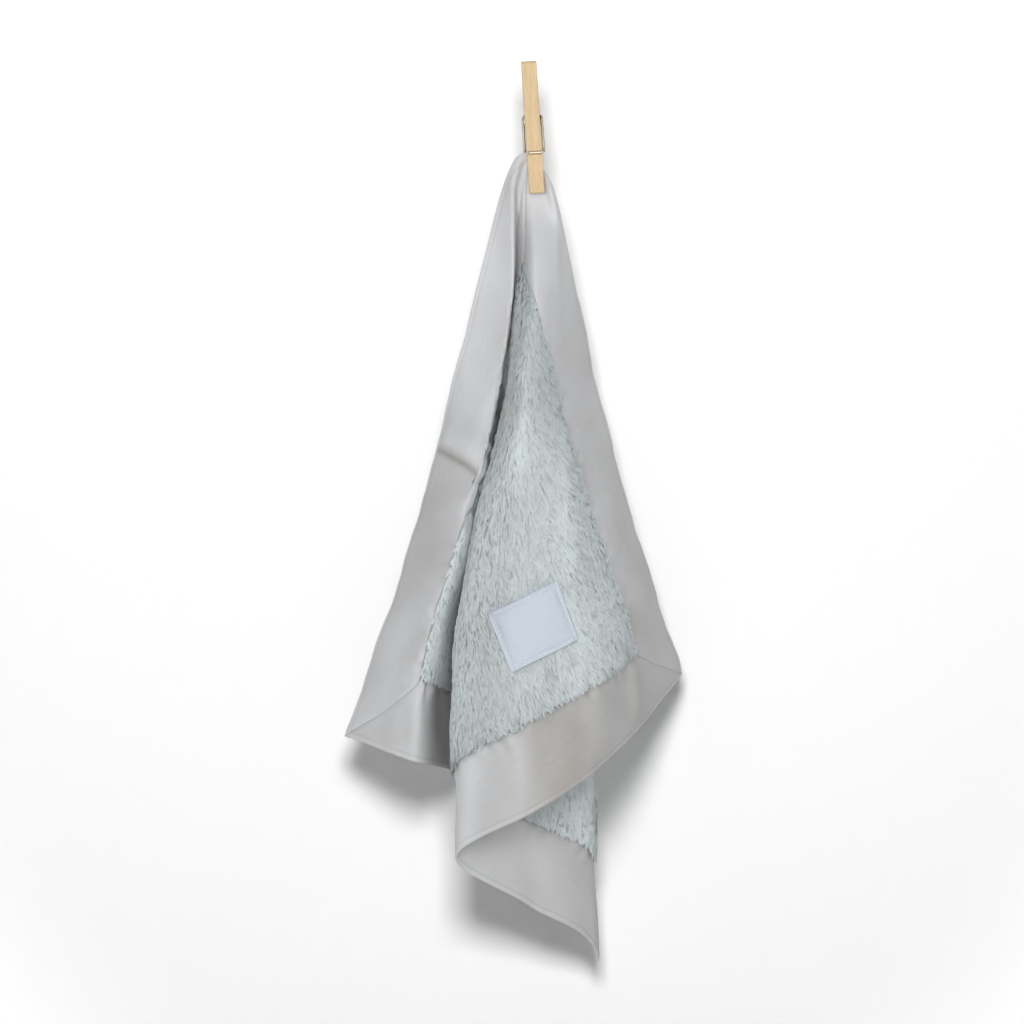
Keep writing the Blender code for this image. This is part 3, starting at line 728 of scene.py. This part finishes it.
def birch_material(settings):
    """Birch, sawn and tumbled: pale, with straight fine grain along the peg and short pores."""
    made, tree = new_material("Sawn birch", Roughness=0.58, Specular_IOR_Level=0.35)
    place = add_node(tree, "TexCoord").outputs["Object"]
    upright = add_node(tree, "Mapping", {
        "Vector": place, "Rotation": (0, PEG_TILT, 0), "Scale": (1, 1, 0.035)})
    rings = add_node(tree, "TexNoise", {
        "Vector": upright, "Scale": 900.0, "Detail": 3.0, "Roughness": 0.6})
    pores = add_node(tree, "TexNoise", {"Vector": upright, "Scale": 3200.0, "Detail": 1.0})
    figure = add_node(tree, "TexNoise", {"Vector": upright, "Scale": 260.0, "Detail": 1.0})
    ring_share = add_node(tree, "MapRange", {
        "Value": rings, "From Min": 0.38, "From Max": 0.68, "To Max": 0.75})
    pore_share = add_node(tree, "MapRange", {
        "Value": pores, "From Min": 0.62, "From Max": 0.72, "To Max": 0.22})
    shine = add_node(tree, "MapRange", {"Value": figure, "To Min": 0.92, "To Max": 1.06})
    grown = add_node(tree, "Mix", {
        0: ring_share, 6: settings.birch_colour, 7: settings.grain_colour}, data_type="RGBA")
    pored = add_node(tree, "Mix", {
        0: pore_share, 6: grown.outputs[2], 7: darker(settings.grain_colour, 0.55)},
        data_type="RGBA")
    colour = add_node(tree, "VectorMath", {
        0: pored.outputs[2], "Scale": shine}, operation="SCALE")
    link_surface(tree, colour.outputs[0], rings, 0.35, 0.0002)
    return made


def wire_material(settings):
    """Drawn steel wire, yellowed a little with age: fine die marks and a soft shine."""
    made, tree = new_material("Drawn steel wire", Metallic=1.0)
    place = add_node(tree, "TexCoord").outputs["Object"]
    marks = add_node(tree, "TexNoise", {"Vector": place, "Scale": 2200.0, "Detail": 2.0})
    dull = add_node(tree, "MapRange", {"Value": marks, "To Min": 0.30, "To Max": 0.48})
    tree.links.new(dull.outputs[0], tree.nodes["Principled BSDF"].inputs["Roughness"])
    shade = darker(settings.wire_colour, 0.8)
    colour = add_node(tree, "Mix", {0: marks, 6: shade, 7: settings.wire_colour}, data_type="RGBA")
    link_surface(tree, colour.outputs[2])
    return made


# Operators

class BLANKET_OT_studio(bpy.types.Operator):
    """Sets the camera, the white wall and floor, and soft studio light"""
    bl_idname = "blanket.studio"
    bl_label = "Studio"

    def execute(self, context):
        settings = context.scene.studio_settings
        low, high = (np.array(corner) for corner in cad_corners)
        distance = settings.frame_width / 2 / (SENSOR_WIDTH / 2 / settings.lens)
        bpy.ops.object.camera_add(
            location=(VIEW_ACROSS, -distance, VIEW_HEIGHT), rotation=(math.pi / 2, 0, 0))
        camera = context.object
        camera.data.lens = settings.lens
        camera.data.sensor_width = SENSOR_WIDTH
        context.scene.camera = camera

        wall_y = high[1] + settings.wall_gap
        floor_z = low[2] - FLOOR_BELOW
        wall = start_piece(
            bpy.ops.mesh.primitive_plane_add, "studio_wall", size=PAPER_SIZE,
            location=(VIEW_ACROSS, wall_y, floor_z + PAPER_SIZE / 2),
            rotation=(math.pi / 2, 0, 0))
        floor = start_piece(
            bpy.ops.mesh.primitive_plane_add, "studio_floor", size=PAPER_SIZE,
            location=(VIEW_ACROSS, wall_y - PAPER_SIZE / 2, floor_z))
        wall.visible_shadow = False
        paper = bpy.data.collections.new("paper_alone")
        all_but_paper = bpy.data.collections.new("all_but_paper")
        for part, glow in ((wall, WALL_GLOW), (floor, FLOOR_GLOW)):
            part.data.materials.append(self.paper_material(part.name, glow, settings))
            paper.objects.link(part)
            all_but_paper.objects.link(part)
        for entry in all_but_paper.collection_objects:
            entry.light_linking.link_state = "EXCLUDE"

        for name, share, size, place in LAMPS:
            self.add_softbox(name, settings.lamp_power * share, size, place, all_but_paper)
        self.add_softbox("paper_lamp", settings.paper_power, *PAPER_LAMP, paper)
        self.fill_world(context.scene)
        context.scene.view_settings.view_transform = "Standard"
        return {"FINISHED"}

    def add_softbox(self, name, power, size, place, lit):
        """A square lamp that points at the blanket and lights one collection alone."""
        bpy.ops.object.light_add(type="AREA", location=place)
        lamp = bpy.context.object
        lamp.name = name
        lamp.data.energy = power
        lamp.data.size = size
        way = np.array(LAMP_TARGET) - np.array(place)
        across = math.atan2(-way[0], way[1])
        down = math.atan2(way[2], math.hypot(way[0], way[1]))
        lamp.rotation_euler = (math.pi / 2 + down, 0, across)
        lamp.light_linking.receiver_collection = lit

    def fill_world(self, scene):
        """Soft grey air for light, and plain white to the camera and in reflections."""
        scene.world = bpy.data.worlds.new("studio_air")
        scene.world.use_nodes = True
        tree = scene.world.node_tree
        background = tree.nodes["Background"]
        background.inputs["Color"].default_value = (1, 1, 1, 1)
        level = add_node(tree, "MapRange", {
            "Value": self.seen_rays(tree), "To Min": AIR_LIGHT, "To Max": 1.0})
        tree.links.new(level.outputs[0], background.inputs["Strength"])

    def seen_rays(self, tree):
        """1 for what the camera sees, straight, in a gloss or through glass, and 0 for light."""
        rays = add_node(tree, "LightPath").outputs
        plain = add_node(tree, "Math", {
            0: rays["Is Camera Ray"], 1: rays["Is Transmission Ray"]}, operation="MAXIMUM")
        return add_node(tree, "Math", {0: plain, 1: rays["Is Glossy Ray"]}, operation="MAXIMUM")

    def paper_material(self, name, glow, settings):
        """Matt white studio paper that isn't seen from behind. It glows a little to the camera,
        fully where the lamps don't reach, and throws only part of its light back."""
        made = bpy.data.materials.new(f"Matt white paper, {name}")
        made.use_nodes = True
        tree = made.node_tree
        tree.nodes.clear()
        seen = self.seen_rays(tree)
        colour = add_node(tree, "Mix", {
            0: seen, 6: darker(settings.wall_colour, THROWN_BACK), 7: settings.wall_colour},
            data_type="RGBA")
        paper = add_node(tree, "BsdfDiffuse", {"Color": colour.outputs[2]})
        side = add_node(tree, "NewGeometry").outputs
        away = add_node(tree, "VectorMath", {
            0: side["Position"], 1: LAMP_TARGET}, operation="DISTANCE").outputs["Value"]
        strength = add_node(tree, "MapRange", {
            "Value": away, "From Min": GLOW_REACH[0], "From Max": GLOW_REACH[1],
            "To Min": glow, "To Max": 1.0}, interpolation_type="SMOOTHSTEP")
        light = add_node(tree, "Emission", {"Color": (1, 1, 1), "Strength": strength})
        both = add_node(tree, "AddShader", {0: paper, 1: light})
        front = add_node(tree, "MixShader", {0: seen, 1: paper, 2: both})
        clear = add_node(tree, "BsdfTransparent")
        shown = add_node(tree, "MixShader", {0: side["Backfacing"], 1: front, 2: clear})
        add_node(tree, "OutputMaterial", {"Surface": shown})
        return made


BINDINGS = (
    ("satin_left", "binding_left", lambda along, inward: (along, inward)),
    ("satin_right", "binding_right", lambda along, inward: (inward, along)),
    ("satin_lower_left", "binding_lower_left",
     lambda along, inward: (SIDE_LENGTH - inward, along)),
    ("satin_lower_right", "binding_lower_right",
     lambda along, inward: (along, SIDE_LENGTH - inward)),
)


class BLANKET_OT_bindings(bpy.types.Operator):
    """Models the four satin bands, folded over the edge and mitred at the corners"""
    bl_idname = "blanket.bindings"
    bl_label = "Satin binding"

    def execute(self, context):
        settings = context.scene.blanket_settings
        look = satin_material(settings)
        for name, node, corner_to_flat in BINDINGS:
            band = self.band(name, corner_to_flat, settings)
            finish_piece(band, "satin", look, node)
        return {"FINISHED"}

    def band(self, name, corner_to_flat, settings):
        def on_band(u, v):
            """Along and inward. Rows are closer at the folded edge and at the seam, where the
            band is rounded."""
            inward = BINDING_WIDTH * (0.5 - 0.5 * np.cos(math.pi * v)) * (1 - 0.0001)
            return inward + u * (SIDE_LENGTH - 2 * inward), inward

        def fullness(u, v):
            """Round at the fold, with the pressed line inside it, and thinner where it is
            sewn to the pile, at its mitres and in the jaws."""
            along, inward = on_band(u, v)
            held = smooth_step(np.hypot(*corner_to_flat(along, inward)), 0.0, FULL_REACH[0])
            fold = np.sqrt(np.clip(inward / HEM_FOLD, 0, 1)) * (
                1 - 0.22 * hump(inward, 0.0046, 0.0014))
            seam = 0.45 + 0.55 * smooth_step(BINDING_WIDTH - inward, 0, 0.005)
            mitre = 0.25 + 0.75 * smooth_step(from_mitre(along, inward), 0, 0.004)
            return np.clip(fold * seam * mitre * (0.35 + 0.65 * held), 0.002, 1)

        return cloth_sheet(
            name, (240, 34), lambda u, v: corner_to_flat(*on_band(u, v)), settings,
            lambda u, v: 0 * u, settings.binding_thickness, fullness,
            uv_of=lambda u, v: (u * SIDE_LENGTH, on_band(u, v)[1]))


class BLANKET_OT_pile(bpy.types.Operator):
    """Models the two knitted backings, and combs clumps of pile onto them"""
    bl_idname = "blanket.pile"
    bl_label = "Pile fabrics"

    def execute(self, context):
        settings = context.scene.blanket_settings
        look = backing_material(settings)
        sides = ((1, "front", "plush_front"), (-1, "back", "plush_back"))
        backings = [self.backing(f"{name}_backing", side, settings) for side, name, _ in sides]
        for backing, (_, _, node) in zip(backings, sides):
            finish_piece(backing, "pile_fabric", look, node)
        bands = [band[0] for band in BINDINGS]
        graph = context.evaluated_depsgraph_get()
        cloths = [
            BVHTree.FromObject(cloth, graph)
            for cloth in (*(bpy.data.objects[band] for band in bands), *backings)]
        look = pile_material(settings)
        for backing, (side, name, _) in zip(backings, sides):
            parts = self.pile(f"{name}_pile", side, cloths, settings)
            for part in parts:
                finish_piece(part, "pile_fabric", look)
        return {"FINISHED"}

    def backing(self, name, side, settings):
        start = BINDING_WIDTH - SEAM_LAP
        square = SIDE_LENGTH - 2 * start

        def flat_of(u, v):
            return start + u * square, start + v * square

        def fullness(u, v):
            """Thin where it is sewn into the binding, and pressed near the held corner."""
            inset = np.minimum(np.minimum(u, 1 - u), np.minimum(v, 1 - v)) * square
            full = smooth_step(np.hypot(*flat_of(u, v)), *FULL_REACH)
            return (0.25 + 0.75 * smooth_step(inset, 0, 0.005)) * (0.45 + 0.55 * full)

        def middle(u, v):
            return side * (CLOTH_GAP + settings.backing_thickness * fullness(u, v)) / 2

        return cloth_sheet(
            name, (118, 118), flat_of, settings, middle, settings.backing_thickness, fullness)

    def pile(self, name, side, cloths, settings):
        """Strands in clumps: each strand is a closed three-sided tube that leans and tapers."""
        random = np.random.default_rng(PILE_SEEDS[side])
        count = int(PILE_SIDE / settings.tuft_spacing)
        cell = PILE_SIDE / count
        row, column = np.divmod(np.arange(count * count), count)
        jitter = random.uniform(-0.42, 0.42, (2, count * count))
        clump_left = BINDING_WIDTH + (row + 0.5 + jitter[0]) * cell
        clump_right = BINDING_WIDTH + (column + 0.5 + jitter[1]) * cell
        clump = np.repeat(np.arange(count * count), STRANDS_IN_CLUMP)
        around = random.uniform(0, 2 * math.pi, len(clump))
        out = 0.62 * cell * np.sqrt(random.uniform(0, 1, len(clump)))
        left = self.inside_seams(clump_left[clump] + out * np.cos(around), clump_right[clump], 0)
        right = self.inside_seams(clump_right[clump] + out * np.sin(around), clump_left[clump], 4)

        backing_top = side * (CLOTH_GAP / 2 + settings.backing_thickness * 0.75)
        roots, normals, left_way, right_way = slack_frame(left, right, settings, backing_top)
        to_centre = slack_frame(clump_left, clump_right, settings, backing_top)[0][clump] - roots
        up = normals * side
        insets = (right, left, SIDE_LENGTH - left, SIDE_LENGTH - right)
        to_seam = np.minimum.reduce(insets) - BINDING_WIDTH
        nap = self.nap(random, clump, left, right, up, side)
        for way, inset in zip((-right_way, -left_way, left_way, right_way), insets):
            nap = nap + way * (0.20 * hump(inset, BINDING_WIDTH, 0.004))[:, None]
        nap = unit(nap)

        reach = np.hypot(left, right)
        full = 0.45 + 0.55 * smooth_step(reach, *FULL_REACH)
        full = full * (0.45 + 0.55 * smooth_step(to_seam, 0.001, 0.009))
        length = settings.strand_length * full * self.for_clumps(random.normal, clump, 1, 0.14)
        length = length * random.normal(1, 0.10, len(clump))
        rise = settings.pile_rise * full * self.for_clumps(random.normal, clump, 1, 0.16)
        rise = rise * random.uniform(0.75, 1.12, len(clump))
        if side > 0:
            tip_left = left + (nap * left_way).sum(axis=1) * length
            tip_right = right + (nap * right_way).sum(axis=1) * length
            under = np.maximum(
                self.under_label(left, right), self.under_label(tip_left, tip_right))
            rise = rise * (1 - 0.6 * under)
            length = length * (1 - 0.4 * under)
        above = roots + up * (0.25 * settings.backing_thickness + 0.0004)
        free = self.clear_share(above, up * rise[:, None] + nap * length[:, None] * 0.7, cloths)
        rise, length = rise * free, length * free

        aside = np.cross(up, nap)
        curl = random.normal(0, 0.09, len(clump))
        points, shading = [], []
        for share, height, width in STRAND_LEVELS:
            spine = (
                roots + up * (rise * height)[:, None] + nap * (length * share**1.15)[:, None]
                + to_centre * (0.72 * share) + aside * (curl * length * share**2)[:, None])
            half = settings.strand_width / 2 * width
            if width == 0:
                points += [spine]
                shading += [up + nap * 0.15]
            else:
                points += [spine - aside * half, spine + up * half * 0.6, spine + aside * half]
                shading += [up - aside * 0.45, up, up + aside * 0.45]
        points, shading = np.stack(points, axis=1), unit(np.stack(shading, axis=1))
        tone = self.tone(random, clump, left, right, to_seam, side)
        nearest_first = np.argsort(reach, kind="stable")
        return [
            self.strand_mesh(f"{name}_{part + 1}", points[chosen], shading[chosen], tone[chosen])
            for part, chosen in enumerate(np.array_split(nearest_first, PIECES_OF_PILE))]

    def for_clumps(self, draw, clump, *numbers):
        """One draw for each clump, given to each of its strands."""
        return draw(*numbers, clump[-1] + 1)[clump]

    def inside_seams(self, place, along, seed):
        """Keeps the roots inside the seams, whose line is drawn in between its gathers."""
        near, far = (
            BINDING_WIDTH + 0.0008 + 0.0009 * waves(along, (0.0113, 0.0159, 0.0243), start + seed)
            for start in (60, 61))
        return np.clip(place, near, SIDE_LENGTH - far)

    def nap(self, random, clump, left, right, up, side):
        """Which way the strands lie: the nap falls with gravity and wanders in patches."""
        down = unit(np.array([0.0, 0.0, -1.0]) + up * up[:, 2:3])
        wander = 0.50 * smooth_step(np.degrees(np.arctan2(right, left)) - 45, 4, 34)
        wander = wander + 0.24 * swells(left, right, (0.021, 0.034, 0.055), 7 * side + 20)
        wander = wander + 0.15 * self.for_clumps(random.normal, clump, 0, 1)
        wander = wander + 0.06 * random.normal(size=len(clump))
        return down * np.cos(wander)[:, None] + np.cross(up, down) * np.sin(wander)[:, None]

    def under_label(self, left, right):
        """1 under the label and 0 beside it."""
        away = np.maximum(
            np.abs(left - LABEL_FROM_RIGHT_EDGE) - LABEL_LENGTH / 2,
            np.abs(right - LABEL_FROM_LEFT_EDGE) - LABEL_HEIGHT / 2,
        )
        return 1 - smooth_step(away, -0.002, 0.001)

    def clear_share(self, roots, ways, cloths):
        """How much of each strand is clear of the cloth that hangs in front of it."""
        ahead = np.linalg.norm(ways, axis=1) * CLEAR_AHEAD
        shares = np.ones(len(roots))
        for cloth in cloths:
            for index, (root, way, length) in enumerate(zip(roots, unit(ways), ahead)):
                distance = cloth.ray_cast(root, way, length)[3]
                if distance is not None:
                    shares[index] = min(shares[index], distance / length)
        return np.clip(shares, 0.12, 1)

    def tone(self, random, clump, left, right, to_seam, side):
        """How light each strand is. Clumps differ at random, a few strands get a painted shade,
        near the seams none is painted darker, the streaks add painted light and painted shade,
        and a painted shade lies in the fold behind the left band."""
        tone = self.for_clumps(random.uniform, clump, 0.5, 1.0)
        tone = tone + random.uniform(-0.1, 0.1, len(clump))
        # A few strands get a painted shade, standing for the shade between clumps
        shaded_strands = (self.for_clumps(random.random, clump) < 0.14) & (random.random(len(clump)) < 0.5)
        tone[shaded_strands] = PAINTED_SHADE_TONE
        # Near the seams no strand is painted darker than 0.7
        tone = np.maximum(tone, 0.7 * (1 - smooth_step(to_seam, 0.002, 0.006)))
        # Painted light and painted shade from the pile's streaks
        tone += painted_streaks(left, right, PAINTED_FRONT_PILE_LIGHT if side > 0 else PAINTED_BACK_PILE_LIGHT)
        if side > 0:
            # Painted shade, near black, in the fold behind the left band
            deep = window(left, 0.12, 0.16, 0.210, 0.240)
            tone -= 2.5 * deep * (1 - smooth_step(right, 0.060, 0.080))
        return tone

    def strand_mesh(self, name, points, shading, tone):
        """One mesh of strands, each closed at its root and its tip. They are shaded mostly as
        the cloth under them, as fine fibres are, and a little round."""
        strands, points_each = points.shape[:2]
        starts = np.arange(strands)[:, None, None] * points_each
        corners = (starts + np.array(STRAND_FACES)).reshape(-1)
        mesh = bpy.data.meshes.new(name)
        mesh.vertices.add(strands * points_each)
        mesh.vertices.foreach_set("co", points.reshape(-1).astype(np.float32))
        mesh.loops.add(len(corners))
        mesh.loops.foreach_set("vertex_index", corners.astype(np.int32))
        mesh.polygons.add(len(corners) // 3)
        mesh.polygons.foreach_set("loop_start", np.arange(0, len(corners), 3, dtype=np.int32))
        mesh.update(calc_edges=True)
        mesh.validate()
        piece = bpy.data.objects.new(name, mesh)
        bpy.context.scene.collection.objects.link(piece)
        along = [share for share, _, width in STRAND_LEVELS for _ in range(3 if width else 1)]
        put_uv(piece, np.stack(
            [np.repeat(tone, points_each), np.tile(along, strands)], axis=1))
        mesh.shade_smooth()
        mesh.normals_split_custom_set_from_vertices(shading.reshape(-1, 3))
        return piece


class BLANKET_OT_label(bpy.types.Operator):
    """Models the bare woven label and the stitches that hold it"""
    bl_idname = "blanket.label"
    bl_label = "Sewn label"

    def execute(self, context):
        settings = context.scene.blanket_settings
        label = cloth_sheet(
            "sewn_label", (72, 66), lambda u, v: self.flat_place(u - 0.5, v - 0.5), settings,
            lambda u, v: self.lift(u - 0.5, v - 0.5), settings.label_thickness,
            lambda u, v: 1 + 0 * u)
        finish_piece(label, "woven_label", label_material(settings), "label")
        stitches = self.stitches(settings)
        finish_piece(stitches, "thread", thread_material(settings), "label_stitching")
        return {"FINISHED"}

    def flat_place(self, u, v):
        """The flat place for the label's own shares, -0.5 to 0.5 across and down it."""
        return LABEL_FROM_RIGHT_EDGE + u * LABEL_LENGTH, LABEL_FROM_LEFT_EDGE + v * LABEL_HEIGHT

    def lift(self, u, v):
        """The label's height over the cloth: drawn down where it is stitched and at its
        corners, with a soft pillow inside and fine wrinkles."""
        from_edge = np.minimum(
            (0.5 - np.abs(u)) * LABEL_LENGTH, (0.5 - np.abs(v)) * LABEL_HEIGHT)
        drawn = 0.0006 * hump(from_edge, STITCH_INSET, 0.0016)
        corner = 0.0009 * smooth_step(np.minimum(np.abs(u), np.abs(v)), 0.40, 0.5)
        pillow = 0.0004 * smooth_step(from_edge, 0.002, 0.012)
        wrinkle = waves(u * LABEL_LENGTH + 0.4 * v * LABEL_HEIGHT, (0.011, 0.017, 0.026), 3)
        return LABEL_ABOVE_CLOTH - drawn - corner + pillow + 0.00022 * wrinkle

    def stitches(self, settings):
        """Stitches all round, one modelled and copied along each side."""
        half_u = 0.5 - STITCH_INSET / LABEL_LENGTH
        half_v = 0.5 - STITCH_INSET / LABEL_HEIGHT
        pitch = settings.stitch_length * 1.45
        shape = np.linspace(0, 1, 5)
        made = []
        corners = [(-half_u, -half_v), (half_u, -half_v), (half_u, half_v), (-half_u, half_v)]
        for start, end in zip(corners, corners[1:] + corners[:1]):
            run = np.array(end) - np.array(start)
            side = math.hypot(run[0] * LABEL_LENGTH, run[1] * LABEL_HEIGHT)
            number = int(side / pitch)
            for index in range(number):
                steps = (index + 0.15) / number + shape * settings.stitch_length / side
                u, v = start[0] + run[0] * steps, start[1] + run[1] * steps
                arch = 0.6 * settings.thread_diameter * np.sin(math.pi * shape)
                offset = self.lift(u, v) + settings.label_thickness / 2 - 0.0001 + arch
                made.append(slack_frame(*self.flat_place(u, v), settings, offset)[0])
        return tube_piece("label_stitches", made, settings.thread_diameter / 2, 8)


def tube_piece(name, routes, radius, sides):
    """Closed round tubes along routes of points, in one mesh, from a bevelled curve."""
    curve = bpy.data.curves.new(name, "CURVE")
    curve.dimensions = "3D"
    curve.bevel_depth = radius
    curve.bevel_resolution = max(sides // 4, 1)
    curve.use_fill_caps = True
    for route in routes:
        spline = curve.splines.new("POLY")
        spline.points.add(len(route) - 1)
        for point, place in zip(spline.points, route):
            point.co = (*place, 1)
    piece = bpy.data.objects.new(name, curve)
    bpy.context.scene.collection.objects.link(piece)
    select_only(piece)
    bpy.ops.object.convert(target="MESH")
    piece = bpy.context.object
    merge_doubles(piece, radius / 200)
    piece.data.shade_smooth()
    return piece


class BLANKET_OT_peg(bpy.types.Operator):
    """Gives the peg's two legs their wood"""
    bl_idname = "blanket.peg"
    bl_label = "Peg legs"

    def execute(self, context):
        look = birch_material(context.scene.peg_settings)
        for node in ("peg_back_leg", "peg_front_leg"):
            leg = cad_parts[node]
            leg.data.materials.clear()
            leg.data.materials.append(look)
        return {"FINISHED"}


class BLANKET_OT_spring(bpy.types.Operator):
    """Winds the peg's spring from one round wire"""
    bl_idname = "blanket.spring"
    bl_label = "Spring"

    def execute(self, context):
        settings = context.scene.peg_settings
        front = self.arm(1, -1, LEG_OPENING)
        back = self.arm(-1, 1, 0)
        share = np.linspace(0, 1, COIL_HALF_TURNS * settings.coil_detail + 1)
        angle = math.pi - math.pi * COIL_HALF_TURNS * share
        coil = np.stack([
            ARM_BESIDE - 2 * ARM_BESIDE * share, COIL_RADIUS * np.cos(angle),
            COIL_RADIUS * np.sin(angle),
        ], axis=1)
        route = self.placed(np.array([*front, *coil, *back[::-1]]))
        wire = tube_piece("spring_wire", [route], WIRE_DIAMETER / 2, 16)
        wire.data.materials.append(wire_material(settings))
        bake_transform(wire)
        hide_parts("peg_spring")
        return {"FINISHED"}

    def arm(self, side, outward, opened):
        """The wire from its end in a leg's groove to the coil, about the coil's axis."""
        in_groove = outward * (LEG_THICKNESS - GROOVE_DEPTH + CLOTH_GAP + WIRE_DIAMETER / 2)
        groove = -GROOVE_BELOW_NOTCH - COIL_ABOVE_NOTCH
        far_end = PEG_WIDTH / 2 - WIRE_END_INSET
        bend_start = ARM_BESIDE - WIRE_BEND
        route = [(-side * far_end * (1 - t), in_groove, groove) for t in np.linspace(0, 1, 5)]
        route += [(side * bend_start * t, in_groove, groove) for t in (0.5, 1)]
        for turn in np.radians(np.linspace(15, 90, 6)):
            rise = WIRE_BEND * (1 - math.cos(turn))
            route.append((
                side * (bend_start + WIRE_BEND * math.sin(turn)), in_groove - outward * rise,
                groove + rise))
        last = np.array(route[-1])
        coil_side = np.array((side * ARM_BESIDE, outward * COIL_RADIUS, 0))
        for share in np.linspace(0.12, 0.92, 8):
            route.append(tuple(last + (coil_side - last) * share))
        sine, cosine = math.sin(opened), math.cos(opened)
        return [(x, y * cosine + z * sine, z * cosine - y * sine) for x, y, z in route]

    def placed(self, route):
        """From about the coil's axis, upright, to the tilted peg's place."""
        x, y, z = route.T
        z = z + COIL_ABOVE_NOTCH
        sine, cosine = math.sin(PEG_TILT), math.cos(PEG_TILT)
        return np.stack([x * cosine - z * sine, y + CLOSING_PLANE, x * sine + z * cosine], axis=1)


OPERATORS = (
    BLANKET_OT_studio, BLANKET_OT_bindings, BLANKET_OT_pile, BLANKET_OT_label, BLANKET_OT_peg,
    BLANKET_OT_spring,
)


class BLANKET_PT_pieces(bpy.types.Panel):
    bl_idname = "BLANKET_PT_pieces"
    bl_label = "Comfort blanket"
    bl_space_type = "VIEW_3D"
    bl_region_type = "UI"
    bl_category = "Blanket"

    def draw(self, context):
        for operator in OPERATORS:
            self.layout.operator(operator.bl_idname)
        for group in ("blanket_settings", "peg_settings", "studio_settings"):
            settings = getattr(context.scene, group)
            box = self.layout.box()
            for name in settings.bl_rna.properties.keys():
                if name not in ("name", "rna_type"):
                    box.prop(settings, name)


CLASSES = (BlanketSettings, PegSettings, StudioSettings, *OPERATORS, BLANKET_PT_pieces)


def register():
    for made in CLASSES:
        bpy.utils.register_class(made)
    bpy.types.Scene.blanket_settings = bpy.props.PointerProperty(type=BlanketSettings)
    bpy.types.Scene.peg_settings = bpy.props.PointerProperty(type=PegSettings)
    bpy.types.Scene.studio_settings = bpy.props.PointerProperty(type=StudioSettings)


def unregister():
    for group in ("blanket_settings", "peg_settings", "studio_settings"):
        delattr(bpy.types.Scene, group)
    for made in reversed(CLASSES):
        bpy.utils.unregister_class(made)


def main():
    register()
    bpy.ops.blanket.studio()
    bpy.ops.blanket.bindings()
    bpy.ops.blanket.pile()
    bpy.ops.blanket.label()
    bpy.ops.blanket.peg()
    bpy.ops.blanket.spring()


if __name__ == "__main__":
    main()
